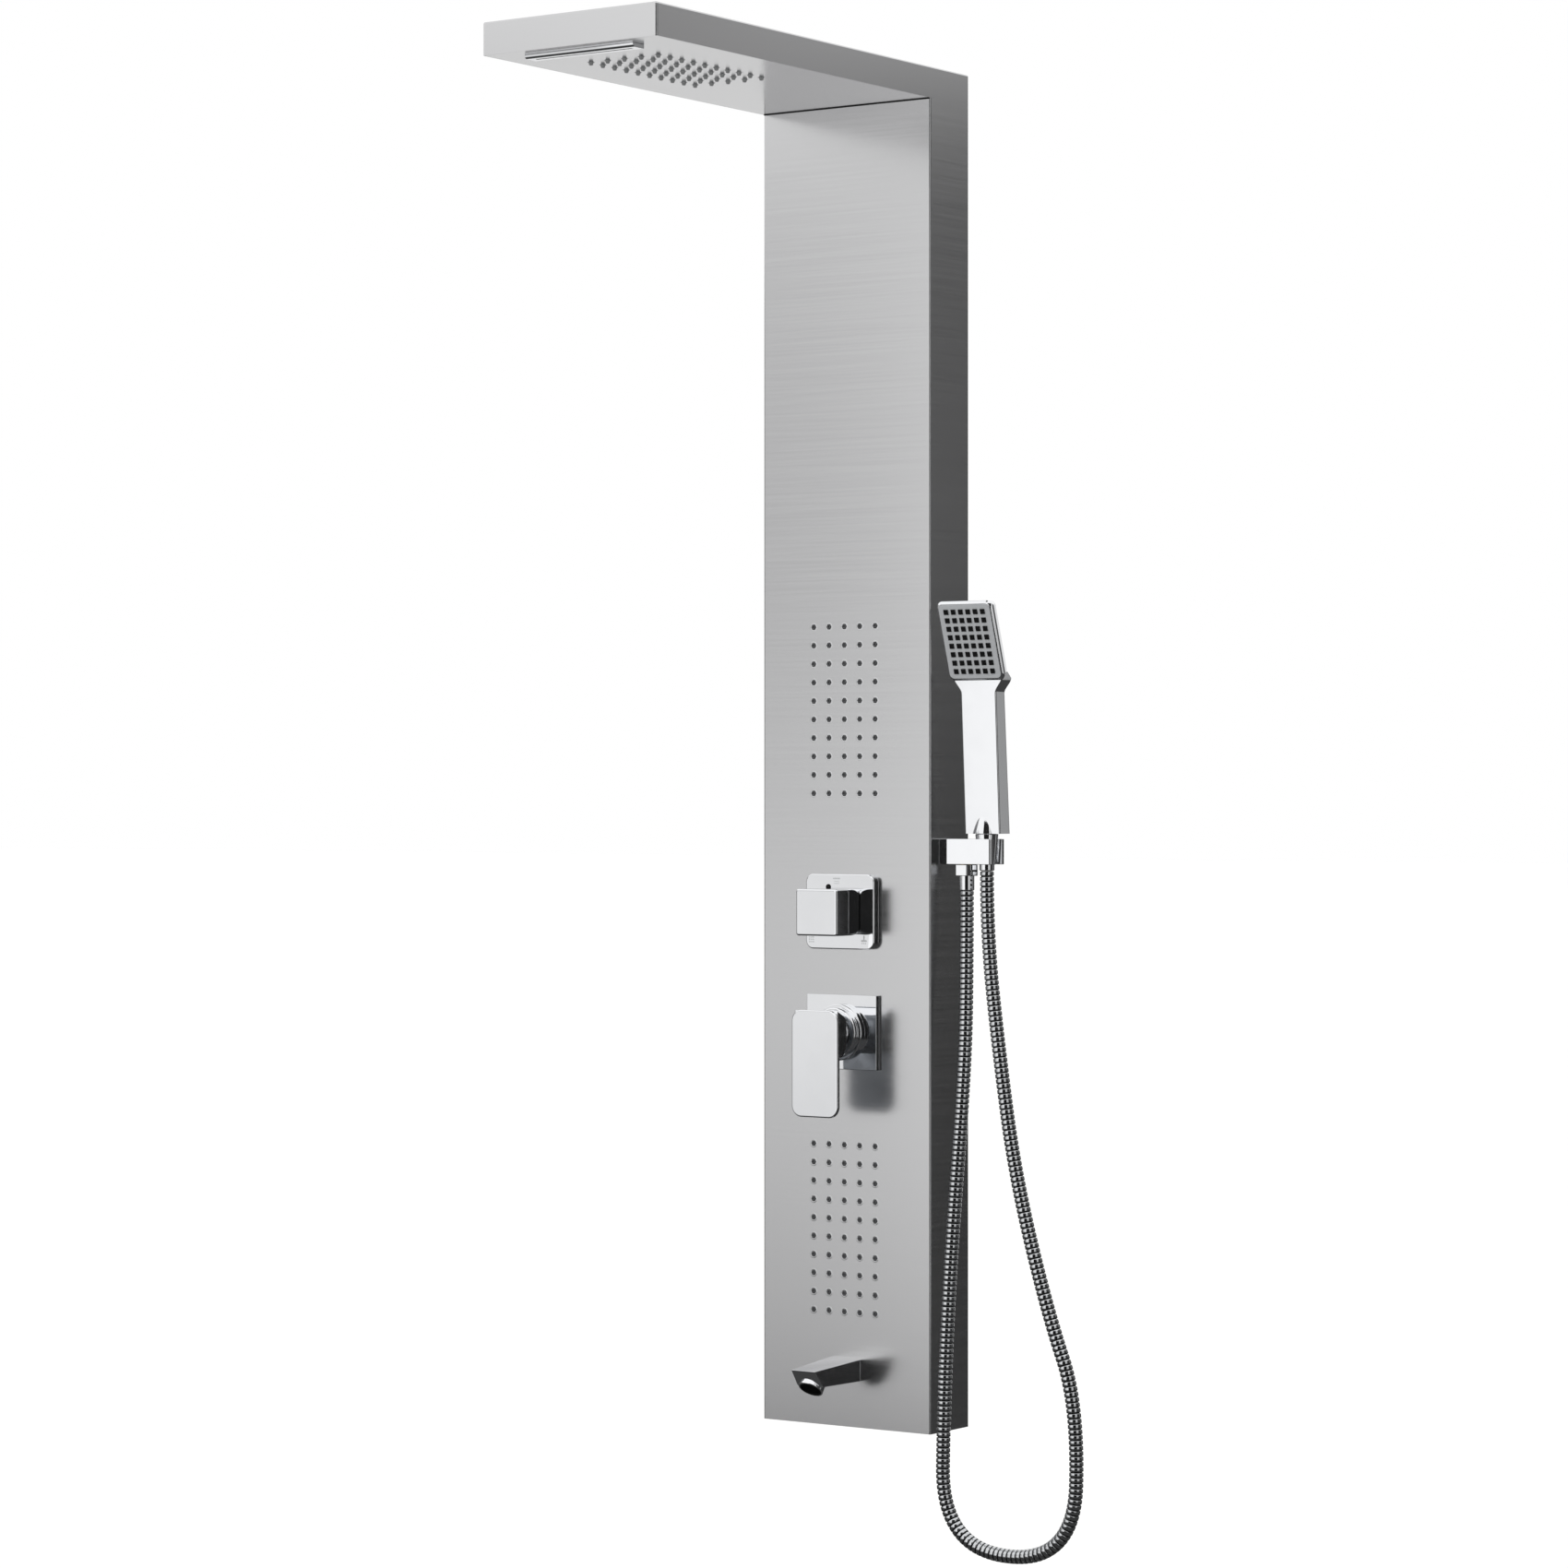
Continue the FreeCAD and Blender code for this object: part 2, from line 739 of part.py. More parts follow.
def waterfall_lip():
    """Chrome lip under the arm, its front edge rounded, with a neck into the arm and one long slot."""
    base = level(column_height)
    half = waterfall_lip_depth / 2
    bar = outline(
        [(-half, 0), (-half, -waterfall_proud), (half, -waterfall_proud), (half, 0)],
        [0, 0.75 * waterfall_proud, 0.25 * waterfall_proud, 0],
        vec(centre_line - waterfall_length / 2, waterfall_y(), base), Y_AXIS, Z_AXIS,
    )
    lip = prism(bar, X_AXIS * waterfall_length)
    length = waterfall_length - 2 * waterfall_lip_step
    depth = waterfall_lip_depth - 2 * waterfall_lip_step
    neck = rectangle(length, depth, 0, vec(centre_line, waterfall_y(), base - 1))
    lip = lip.fuse(prism(neck, Z_AXIS * (1 + 2 * sheet)))
    slot = rectangle(
        length - 3 * waterfall_lip_step, waterfall_slot, 0,
        vec(centre_line, waterfall_y(), base - 2 * waterfall_proud),
    )
    return lip.cut(prism(slot, Z_AXIS * 4 * waterfall_proud))


def waterfall_back():
    """Depth of the waterfall chamber's back wall."""
    return waterfall_y() + waterfall_body_depth - waterfall_lip_depth


def waterfall_chamber():
    """Moulded box over the lip, open below, with a spigot at its back."""
    base = level(column_height) + sheet
    half_length = waterfall_length / 2 + waterfall_body_end
    back = waterfall_back()
    near = back - waterfall_body_depth
    x0 = centre_line - half_length
    x1 = centre_line + half_length
    w = chamber_wall
    body = box(x0, x1, near, back, base, base + waterfall_body_height)
    room = box(x0 + w, x1 - w, near + w, back - w, base - w, base + waterfall_body_height - w)
    root = vec(centre_line, back - w / 2, level(column_height) + waterfall_pipe_rise)
    mouth = waterfall_spigot_mouth()
    body = body.cut(room).fuse(disc(spigot_radius, root, mouth, 12))
    return body.cut(disc(spigot_radius - spigot_wall, root - Y_AXIS * w, mouth + Y_AXIS, 12)).removeSplitter()


def waterfall_spigot_mouth():
    return vec(centre_line, waterfall_back() + spigot_length, level(column_height) + waterfall_pipe_rise)


# ---- Diverter ----------------------------------------------------------------------------------------------
def diverter_plate():
    """Rounded cover plate with a fine chamfer round its face."""
    z = level(diverter_height)
    face = outward(z, diverter_plate_thickness)
    wire = rectangle(
        diverter_plate_width, diverter_plate_height, diverter_plate_radius, outward(z, 0), X_AXIS, Z_AXIS
    )
    plate = prism(wire, face - outward(z, 0))
    rim = [e for e in plate.Edges if e.BoundBox.YMax < face.y + 0.01]
    plate = plate.makeChamfer(0.1 * diverter_plate_thickness, rim)
    return plate.cut(cutter(z, diverter_neck_radius + hole_gap, -sheet, 2 * diverter_plate_thickness))


def port_mouths():
    """Mouth and direction of each port: three up, two down, and one sideways for the hand shower."""
    z = level(diverter_height)
    reach = diverter_body_radius + diverter_port_reach
    mouths = []
    for step, up in ((-1, 1), (0, 1), (1, 1), (-1, -1), (0, -1)):
        mouths.append((vec(centre_line + step * diverter_port_pitch, pipe_y, z + up * reach), Z_AXIS * up))
    side = diverter_port_pitch + pipe_radius + 2 * diverter_port_wall + diverter_port_reach
    mouths.append((vec(centre_line + side, pipe_y, z), X_AXIS))
    return mouths


def diverter_body():
    """Brass valve body: round seat for the cartridge, threaded neck and a bar with compression ports."""
    z = level(diverter_height)
    deep = -diverter_body_depth - sheet
    radius = diverter_body_radius
    neck = diverter_neck_radius
    far = diverter_neck_out
    body = facing([(deep, 0), (deep, radius), (-sheet, radius), (-sheet, neck), (far, neck), (far, 0)], z)
    half = diverter_port_pitch + pipe_radius + 2 * diverter_port_wall
    thick = 2 * (pipe_radius + 2 * diverter_port_wall)
    start = vec(centre_line, pipe_y - thick / 2, z)
    bar = prism(rectangle(2 * half, 2 * radius - 4, 0, start, X_AXIS, Z_AXIS), Y_AXIS * thick)
    nuts = []
    for mouth, way in port_mouths():
        across, along = steady_axes(way, Y_AXIS)
        flats = 2 * (pipe_radius + diverter_port_wall)
        nuts.append(hexagon(flats, mouth - way * 2 * port_depth, way * 2 * port_depth, across, along))
    seat = cutter(z, diverter_cartridge_radius + thread_gap, cartridge_back(), 2 * diverter_neck_out)
    return body.fuse([bar] + nuts).cut(seat).removeSplitter()


def cartridge_back():
    """Distance of the diverter cartridge's back from the column's face; it is negative, inside the column."""
    return -diverter_body_depth / 2


def diverter_cartridge():
    """Housing of the diverting cartridge, bored for the stem."""
    z = level(diverter_height)
    start = outward(z, cartridge_back())
    housing = disc(diverter_cartridge_radius, start, outward(z, diverter_neck_out - 2))
    return housing.cut(barrel(z, diverter_stem_radius + running_gap, stem_back(), 2 * diverter_neck_out))


def stem_back():
    return cartridge_back() + 6


def stem_end():
    return knob_front - knob_cap


def diverter_clamp_nut():
    """Ring nut on the body's neck that clamps the cover plate, hidden in the knob's hollow."""
    near = diverter_plate_thickness
    far = near + diverter_nut_thickness
    thread = (diverter_neck_radius + thread_gap) / math.cos(math.pi / turn_sides)
    outer = diverter_nut_radius
    return facing([(near, thread), (near, outer), (far, outer), (far, thread)], level(diverter_height))


def stem_section(gap):
    """Round stem with a flat on one side."""
    z = level(diverter_height)
    radius = diverter_stem_radius + gap
    stem = barrel(z, radius, stem_back() + running_gap, stem_end() + gap)
    flat = radius - 0.25 * diverter_stem_radius
    start = outward(z - radius, stem_end() + 1, centre_line + flat)
    length = stem_end() + 1 - diverter_neck_out - 2
    return stem.cut(Part.makeBox(radius, length, 2 * radius, start))


def diverter_knob():
    """Square knob, drawn in towards the plate and hollow behind to cover the clamping nut."""
    z = level(diverter_height)
    base = diverter_plate_thickness + knob_gap
    chamfer = 0.4 * knob_edge
    stations = [
        (base, knob_taper, knob_edge + 1), (base + knob_taper_depth / 3, knob_taper / 3, knob_edge + 0.5),
        (base + knob_taper_depth, 0, knob_edge), (knob_front - chamfer, 0, knob_edge),
        (knob_front, chamfer, knob_edge - 0.5 * chamfer),
    ]
    rings = []
    for out, inset, c in stations:
        w = knob_width / 2 - inset
        h = knob_height / 2 - inset
        steps = [(-w, c - h), (c - w, -h), (w - c, -h), (w, c - h)]
        steps += [(-side, -up) for side, up in steps]
        rings.append([outward(z + up, out, centre_line + side) for side, up in steps])
    cover = diverter_plate_thickness + diverter_nut_thickness + knob_gap
    hollow = cutter(z, diverter_nut_radius + 0.8 * knob_gap, 0, cover)
    return stacked(rings).cut([hollow, stem_section(running_gap)])


# ---- Mixer -------------------------------------------------------------------------------------------------
def mixer_plate():
    z = level(mixer_height)
    wire = rectangle(mixer_plate_width, mixer_plate_height, 0, outward(z, 0), X_AXIS, Z_AXIS)
    plate = prism(wire, -Y_AXIS * mixer_plate_thickness)
    return plate.cut(cutter(z, mixer_neck_radius + hole_gap, -sheet, 2 * mixer_plate_thickness))


def inlet_point(side):
    """Where a supply nipple's collar seats under the mixer's cross bar."""
    return vec(centre_line + side * inlet_spacing / 2, pipe_y, level(mixer_height) - mixer_bar_height)


def mixer_outlet():
    return vec(centre_line, pipe_y, level(mixer_height) + mixer_body_radius + diverter_port_reach)


def mixer_body():
    """Brass body: cartridge seat, clamping flange, cross bar with two inlets, and the outlet on top."""
    z = level(mixer_height)
    deep = -mixer_body_depth - sheet
    shoulder = -sheet - mixer_flange_thickness
    barrel_radius = mixer_body_radius
    flange = mixer_flange_radius
    neck = mixer_neck_radius
    far = mixer_neck_out
    profile = [(deep, 0), (deep, barrel_radius), (shoulder, barrel_radius), (shoulder, flange)]
    body = facing(profile + [(-sheet, flange), (-sheet, neck), (far, neck), (far, 0)], z)
    boss = inlet_thread_radius + inlet_wall
    start = vec(centre_line, pipe_y - boss, z - mixer_bar_height / 2)
    width = inlet_spacing + 2 * boss
    bar = prism(rectangle(width, mixer_bar_height, 0, start, X_AXIS, Z_AXIS), Y_AXIS * 2 * boss)
    flats = 2 * (pipe_radius + diverter_port_wall)
    middle = vec(centre_line, pipe_y, z)
    tower = hexagon(flats, middle, mixer_outlet() - middle, Y_AXIS, X_AXIS)
    bores = [cutter(z, cartridge_radius + thread_gap, -cartridge_length, 2 * mixer_neck_out)]
    for side in (-1, 1):
        seat = inlet_point(side)
        top = seat + Z_AXIS * (inlet_stem_length + 1)
        bores.append(bore(inlet_stem_radius + thread_gap, seat - Z_AXIS, top))
    return body.fuse([bar, tower]).cut(bores).removeSplitter()


def inlet_nipple(side):
    """Supply nipple: stem in the body, hexagon collar, and a thread that points down."""
    seat = inlet_point(side)
    collar = seat - Z_AXIS * inlet_collar_height
    end = collar - Z_AXIS * inlet_thread_length
    top = seat + Z_AXIS * inlet_stem_length
    nipple = hexagon(inlet_collar_across, collar, Z_AXIS * inlet_collar_height)
    nipple = nipple.fuse([disc(inlet_stem_radius, seat, top), cylinder(inlet_thread_radius, end, collar)])
    return nipple.cut(disc(inlet_stem_radius - inlet_wall, end - Z_AXIS, top + Z_AXIS))


def mixer_clamp_ring():
    """Stepped chrome ring on the body's neck: it clamps the plate, and the dome turns inside its mouth."""
    near = mixer_plate_thickness
    middle = near + ring_step
    far = middle + ring_step
    thread = (mixer_neck_radius + thread_gap) / math.cos(math.pi / ring_sides)
    mouth = (dome_radius + dome_gap) / math.cos(math.pi / ring_sides)
    shelf = mixer_neck_out + dome_gap
    outer = ring_outer_radius
    upper = ring_step_radius
    edge = ring_edge
    profile = [(near, thread), (near, outer), (middle - edge, outer), (middle, outer - edge), (middle, upper)]
    profile += [(far - 2 * edge, upper), (far, upper - 2.5 * edge), (far, mouth), (shelf, mouth)]
    profile.append((shelf, thread))
    return turned(profile, outward(level(mixer_height), 0), -Y_AXIS, X_AXIS, ring_sides)


def cartridge_front():
    """Distance of the cartridge housing's face from the column's face."""
    return mixer_neck_out - cartridge_nut_height - 1


def cartridge_housing():
    """Plastic housing of the mixing cartridge, open in front for the turning guide."""
    z = level(mixer_height)
    housing = disc(cartridge_radius, outward(z, -cartridge_length), outward(z, cartridge_front()))
    return housing.cut(barrel(z, turret_radius + running_gap, turret_back(), 2 * mixer_neck_out))


def turret_back():
    return cartridge_front() - turret_depth


def cartridge_nut():
    """Ring nut that holds the cartridge down in the body's neck."""
    near = cartridge_front()
    far = near + cartridge_nut_height
    hole = (turret_radius + thread_gap) / math.cos(math.pi / turn_sides)
    profile = [(near, hole), (near, cartridge_radius), (far, cartridge_radius), (far, hole)]
    return facing(profile, level(mixer_height))


def cartridge_turret():
    """Turning guide: shank in the housing, flange under the dome, and two ears for the lever's pivot pin."""
    z = level(mixer_height)
    seat = mixer_neck_out + dome_gap
    flange = seat + turret_flange
    turret = barrel(z, turret_radius, turret_back() + running_gap, seat)
    turret = turret.fuse(disc(dome_radius - dome_wall, outward(z, seat), outward(z, flange), ring_sides))
    near = lever_stem_side / 2 + lever_slot_gap
    reach = 2 * (pivot_out - flange + 2 * pivot_pin_radius)
    ears = rectangle(pivot_pin_length, reach, 0, outward(z - ear_height / 2, flange))
    turret = turret.fuse(prism(ears, Z_AXIS * ear_height))
    slot = rectangle(2 * near, 4 * lever_stem_side, 0, outward(z - ear_height, pivot_out + lever_stem_side))
    pin = lever_pin(pivot_pin_radius + thread_gap, 2 * pivot_pin_length)
    return turret.cut([prism(slot, Z_AXIS * 2 * ear_height), pin]).removeSplitter()


def lever_pin(radius, length):
    """Cylinder along the lever's lift axis."""
    middle = outward(level(mixer_height), pivot_out)
    return cylinder(radius, middle - X_AXIS * length / 2, middle + X_AXIS * length / 2)


def mixer_dome():
    """Chrome dome centred on the lever's lift axis, slotted upwards for the stem."""
    z = level(mixer_height)
    base = mixer_neck_out + dome_gap
    inner_radius = dome_radius - dome_wall
    profile = [(base, inner_radius), (base, dome_radius), (pivot_out, dome_radius)]
    turns = [math.pi / 2 * step / dome_steps for step in range(1, dome_steps + 1)]
    profile += [(pivot_out + dome_radius * math.sin(t), dome_radius * math.cos(t)) for t in turns[:-1]]
    profile += [(pivot_out + dome_radius, 0), (pivot_out + inner_radius, 0)]
    profile += [(pivot_out + inner_radius * math.sin(t), inner_radius * math.cos(t)) for t in turns[-2::-2]]
    profile.append((pivot_out, inner_radius))
    shell = turned(profile, outward(z, 0), -Y_AXIS, X_AXIS, ring_sides)
    half = lever_stem_side / 2 + lever_slot_gap
    rise = dome_radius * math.sin(math.radians(lever_lift_angle)) + half + 2 * lever_slot_gap
    slot = box(
        centre_line - half, centre_line + half, front - pivot_out - 2 * dome_radius, front - pivot_out - 2,
        z - half, z + rise,
    )
    return shell.cut(slot)


def lever_stem():
    """Square stem that tilts on the pivot pin, its tail in the turning guide's slot."""
    z = level(mixer_height)
    half = lever_stem_side / 2
    tail = front - pivot_out + 1.5 * half
    tip = front - lever_front + lever_thickness + stem_short
    stem = box(centre_line - half, centre_line + half, tip, tail, z - half, z + half)
    return stem.cut(lever_pin(pivot_pin_radius + running_gap, 2 * lever_stem_side))


def lever_block_back():
    return pivot_out + dome_radius + lever_dome_gap


def mixer_lever():
    """Lever casting: a thin rounded plate that hangs in front and a shaped block that takes the stem."""
    z = level(mixer_height)
    middle = z + lever_top - lever_height / 2
    back = lever_front - lever_thickness
    wire = rectangle(lever_width, lever_height, lever_corner, outward(middle, back), X_AXIS, Z_AXIS)
    plate = prism(wire, -Y_AXIS * lever_thickness)
    face = [e for e in plate.Edges if e.BoundBox.YMax < front - lever_front + 0.01]
    rear = [e for e in plate.Edges if e.BoundBox.YMin > front - back - 0.01]
    plate = plate.makeChamfer(0.18 * lever_thickness, face + rear)
    near = lever_block_back()
    half = lever_block_height / 2
    chin = 0.5 * (back - near)
    side = outline(
        [(near, half - chin), (back + 1, half), (back + 1, -half), (near + chin, -half), (near, chin - half)],
        [2, 0, 0, 2, 2], outward(z, 0, centre_line - lever_block_width / 2), -Y_AXIS, Z_AXIS,
    )
    block = prism(side, X_AXIS * lever_block_width)
    fit = lever_stem_side / 2 + running_gap
    socket = box(
        centre_line - fit, centre_line + fit, front - back + stem_short - thread_gap, front - near + 1,
        z - fit, z + fit,
    )
    grub = grub_top()
    grub_hole = bore(grub_radius + thread_gap, grub - Z_AXIS * lever_block_height, grub + Z_AXIS, 12)
    return plate.fuse(block).cut([socket, grub_hole]).removeSplitter()


def grub_top():
    """Point on the stem's underside where the grub screw bears."""
    out = (lever_block_back() + lever_front) / 2 - 1
    return outward(level(mixer_height) - lever_stem_side / 2, out)


def lever_grub_screw():
    top = grub_top()
    end = top - Z_AXIS * 4 * grub_radius
    key = prism(polygon(6, 0.55 * grub_radius, end), Z_AXIS * grub_radius)
    return disc(grub_radius, end, top, 12).cut(key)


# ---- Spout -------------------------------------------------------------------------------------------------
def aerator_axis():
    """Centre of the spout's outlet and the way the water leaves it."""
    tilt = math.radians(aerator_tilt)
    return outward(level(aerator_height), aerator_out), vec(0, -math.sin(tilt), -math.cos(tilt))


def spout_body():
    """Cast spout: tapered in plan, sloped in side view, arched out round the aerator at its nose."""
    half_root = spout_root_width / 2
    half_nose = spout_nose_width / 2
    plan = outline(
        [(-half_root, 0), (half_root, 0), (half_nose, spout_reach), (-half_nose, spout_reach)],
        [0, 0, 2.5, 2.5], outward(level(spout_height - spout_root_width), 0), X_AXIS, -Y_AXIS,
    )
    low = spout_height - spout_drop
    side = outline(
        [
            (0, low), (0, spout_height + spout_rise), (spout_reach, spout_height + spout_rise - 5),
            (spout_reach - 5, low + 2), (aerator_out - 3, low - 4.5),
        ],
        [0, 0, 1.5, 3, 3], outward(level(0), 0, centre_line - spout_root_width), -Y_AXIS, Z_AXIS,
    )
    body = prism(plan, Z_AXIS * 2 * spout_root_width).common(prism(side, X_AXIS * 2 * spout_root_width))
    centre, way = aerator_axis()
    z = level(spout_height)
    tail = disc(spout_tail_radius, outward(z, -spout_tail_length), outward(z, 1))
    bores = [
        cylinder(aerator_radius + arch_gap, centre - way * aerator_length / 2, centre + way * 40),
        bore(aerator_radius + thread_gap, centre - way * aerator_length, centre),
        disc(spout_bore_radius, outward(z, -spout_tail_length - 1), outward(z, aerator_out - 8), 12),
    ]
    return body.fuse(tail).cut(bores).removeSplitter()


def spout_aerator():
    """Aerator insert: round collar with a recessed outlet."""
    centre, way = aerator_axis()
    rim = aerator_radius - 1.2
    profile = [(-aerator_length, 0), (-aerator_length, aerator_radius), (0, aerator_radius), (0, rim)]
    return turned(profile + [(-aerator_recess, rim), (-aerator_recess, 0)], centre, way, X_AXIS, ring_sides)


def spout_back_nut():
    z = level(spout_height)
    start = outward(z, -sheet - back_nut_height)
    nut = hexagon(spout_nut_across, start, -Y_AXIS * back_nut_height, X_AXIS, Z_AXIS)
    return nut.cut(cutter(z, spout_tail_radius + thread_gap, -2 * back_nut_height, 1))


# ---- Holder and hose ends ----------------------------------------------------------------------------------
def stud_point(out):
    """Point on the holder stud's axis, at a distance outside the column's side."""
    return vec(half_width + out, fitting_y, level(holder_bottom + holder_height / 2))


def seat_axis(height):
    return vec(half_width + seat_from_side, fitting_y, level(height))


def outlet_axis(height):
    return vec(half_width + outlet_from_side, fitting_y, level(height))


def nut_top():
    return holder_bottom + holder_height + nut_above_holder


def nut_bottom():
    return nut_top() - nut_length


def hose_nut_bottom():
    return holder_bottom - 0.3 - hose_nut_height


def cone_radius(height):
    """Radius of the conical hose nut at a height above the foot."""
    return nut_top_radius - (nut_top() - height) * nut_taper


def conical_seat(low, high):
    """Cutter for the holder's seat: the conical nut's shape, widened by the seat's gap."""
    spread = math.cos(math.pi / ring_sides)
    ends = [(height, (cone_radius(height) + seat_gap) / spread) for height in (low, high)]
    return hanging([(low, 0)] + ends + [(high, 0)], seat_axis, ring_sides)


def holder_block():
    """Forked block on the column's side: conical seat open to the right, hose outlet below."""
    low = holder_bottom
    high = low + holder_height
    x = holder_length / 2
    y = holder_depth / 2
    centre = vec(half_width + x, fitting_y, level(low))
    wire = outline([(-x, -y), (x, -y), (x, y), (-x, y)], [0, holder_corner, holder_corner, 0], centre)
    block = prism(wire, Z_AXIS * holder_height)
    half_slot = (hose_diameter + hose_slot_gap) / 2
    bores = [
        conical_seat(low - 1, high + 1),
        box(
            half_width + seat_from_side, half_width + holder_length + 1, fitting_y - half_slot,
            fitting_y + half_slot, level(low - 1), level(high + 1),
        ),
        bore(stud_radius + thread_gap, stud_point(-1), stud_point(stud_depth)),
        disc(water_bore, stud_point(0), stud_point(outlet_from_side), 12),
        bore(outlet_stem_radius + thread_gap, outlet_axis(low - 1), outlet_axis(low + outlet_stem_length)),
        disc(water_bore, outlet_axis(low), outlet_axis(low + holder_height / 2), 12),
    ]
    return block.cut(bores).removeSplitter()


def stud_tail():
    """Inner end of the holder's stud."""
    return stud_point(-sheet - stud_inside)


def holder_stud():
    """Threaded tube that carries the holder through the column's side and feeds it."""
    tube = disc(stud_radius, stud_tail(), stud_point(stud_depth - thread_gap))
    return tube.cut(disc(water_bore, stud_tail() - X_AXIS, stud_point(stud_depth + 1), 12))


def holder_back_nut():
    base = stud_point(-sheet - back_nut_height)
    nut = hexagon(stud_nut_across, base, X_AXIS * back_nut_height, Y_AXIS, Z_AXIS)
    return nut.cut(bore(stud_radius + thread_gap, base - X_AXIS, stud_point(0)))


def hanging(profile, axis, sides=turn_sides):
    """Many-sided turned solid on a vertical axis; profile is (height above the foot, radius) pairs."""
    return turned(profile, axis(0), Z_AXIS, X_AXIS, sides)


def hose_outlet_nipple():
    """Nipple screwed up into the holder, its thread pointing down for the hose nut."""
    low = holder_bottom
    end = low - outlet_thread_length
    top = low + outlet_stem_length - thread_gap
    bored = water_bore
    return hanging(
        [
            (end, bored), (end, outlet_thread_radius), (low, outlet_thread_radius), (low, outlet_stem_radius),
            (top, outlet_stem_radius), (top, bored),
        ],
        outlet_axis,
    )


def washer(axis, low, high):
    """Rubber washer between two water-tight faces."""
    outer = outlet_thread_radius - 0.3
    inner = water_bore + 1
    return hanging([(low, inner), (low, outer), (high, outer), (high, inner)], axis)


def outlet_washer():
    high = holder_bottom - outlet_thread_length
    return washer(outlet_axis, high - washer_thickness, high)


def hose_hex_nut():
    """Hexagon nut that draws the hose's ferrule up to the holder's nipple."""
    low = hose_nut_bottom()
    nut = hexagon(hose_nut_across, outlet_axis(low), Z_AXIS * hose_nut_height)
    thread = bore(outlet_thread_radius + thread_gap, outlet_axis(low + hose_nut_web), outlet_axis(low + 30))
    return nut.cut([thread, bore(ferrule_radius + thread_gap, outlet_axis(low - 1), outlet_axis(low + 30))])


def hose_lower_ferrule():
    """Crimped ferrule with a collar held inside the hexagon nut."""
    collar = hose_nut_bottom() + hose_nut_web
    low = hose_nut_bottom() - lower_ferrule_length
    top = holder_bottom - outlet_thread_length - washer_thickness
    ring = outlet_thread_radius - 0.3
    profile = [(low, water_bore), (low, ferrule_radius), (collar, ferrule_radius), (collar, ring)]
    return hanging(profile + [(top, ring), (top, water_bore)], outlet_axis)


def collar_height():
    """Height of the web inside the conical nut, where the hose end's collar rests."""
    return nut_top() - handset_thread_length - 2 * washer_thickness


def conical_nut():
    """Conical hose nut that hangs in the holder's seat, screwed on the hand shower."""
    low = nut_bottom()
    high = nut_top()
    profile = [(low, 0), (low, cone_radius(low)), (high, nut_top_radius), (high, 0)]
    mouth = cylinder(ferrule_radius + running_gap, seat_axis(low - 1), seat_axis(high))
    thread = bore(handset_thread_radius + thread_gap, seat_axis(collar_height()), seat_axis(high + 1))
    return hanging(profile, seat_axis, ring_sides).cut([mouth, thread])


def hose_upper_ferrule():
    """Swivelling hose end: crimped ferrule through the conical nut, with a collar inside it."""
    low = nut_bottom() - ferrule_below_nut
    collar = collar_height() + running_gap
    top = collar + washer_thickness
    shank = cylinder(ferrule_radius, seat_axis(low), seat_axis(collar))
    ferrule = shank.fuse(disc(handset_thread_radius - 0.3, seat_axis(collar), seat_axis(top)))
    return ferrule.cut(disc(water_bore, seat_axis(low - 1), seat_axis(top + 1)))


def handset_washer():
    high = nut_top() - handset_thread_length
    return washer(seat_axis, high - washer_thickness + 2 * running_gap, high)


# ---- Hose --------------------------------------------------------------------------------------------------
def hose_points():
    """Vertices of the hose's route, from the holder's outlet down, round and up to the hand shower."""
    start = outlet_axis(hose_nut_bottom() - lower_ferrule_length)
    end = seat_axis(nut_bottom() - ferrule_below_nut - hose_end_gap)
    hang = [vec(half_width + side, -wall, level(height)) for side, wall, height in hose_hang]
    return [start, start - Z_AXIS * hose_end_run] + hang + [end - Z_AXIS * hose_end_run, end]


def hose_bends(points):
    """Radius at each vertex that lets its arc take 0.45 of the shorter run on either side."""
    radii = []
    for before, corner, after in zip(points, points[1:], points[2:]):
        turn = (corner - before).getAngle(after - corner)
        shorter = min((corner - before).Length, (after - corner).Length)
        radii.append(0.45 * shorter / math.tan(turn / 2))
    return radii


def hose_stations(edges, distances):
    """Point and direction on the path at each distance along it; distances rise."""
    stations = []
    passed = 0.0
    index = 0
    for distance in distances:
        while index < len(edges) - 1 and distance > passed + edges[index].Length:
            passed += edges[index].Length
            index += 1
        edge = edges[index]
        place = edge.getParameterByLength(min(distance - passed, edge.Length))
        stations.append((edge.valueAt(place), edge.tangentAt(place)))
    return stations


def shower_hose():
    """Ribbed hose of one length: each rib rises and falls through four rings set square to the route."""
    points = hose_points()
    bends = hose_bends(points)
    edges = path_edges(points, bends)
    length = sum(edge.Length for edge in edges)
    pitch = length / hose_ribs
    crest = hose_diameter / 2
    groove = crest - hose_groove_depth
    profile = [(0.0, groove), (0.12, crest), (0.62, crest), (0.74, groove)]
    rings = [((rib + part) * pitch, radius) for rib in range(hose_ribs) for part, radius in profile]
    rings.append((length, groove))
    sections = []
    stations = hose_stations(edges, [distance for distance, radius in rings])
    for (place, direction), (distance, radius) in zip(stations, rings):
        across, along = steady_axes(direction, Y_AXIS)
        sections.append(polygon(hose_sides, radius, place, across, along))
    bore_rings = pipe_rings(points, hose_bore / 2, bends, hose_facet)
    inside = Part.makeLoft([Part.makePolygon(ring + ring[:1]) for ring in bore_rings], True, True)
    hose = Part.makeLoft(sections, True, True).cut(inside)
    area = hose_sides / 2 * math.sin(2 * math.pi / hose_sides)
    mean_square = 0.62 * crest ** 2 + 0.38 * groove ** 2
    expected = area * (mean_square - (hose_bore / 2) ** 2) * length
    print("hose: arc radii", [round(r, 1) for r in bends], "length", round(length, 1))
    print("hose: volume", round(hose.Volume), "section x length", round(expected))
    return hose


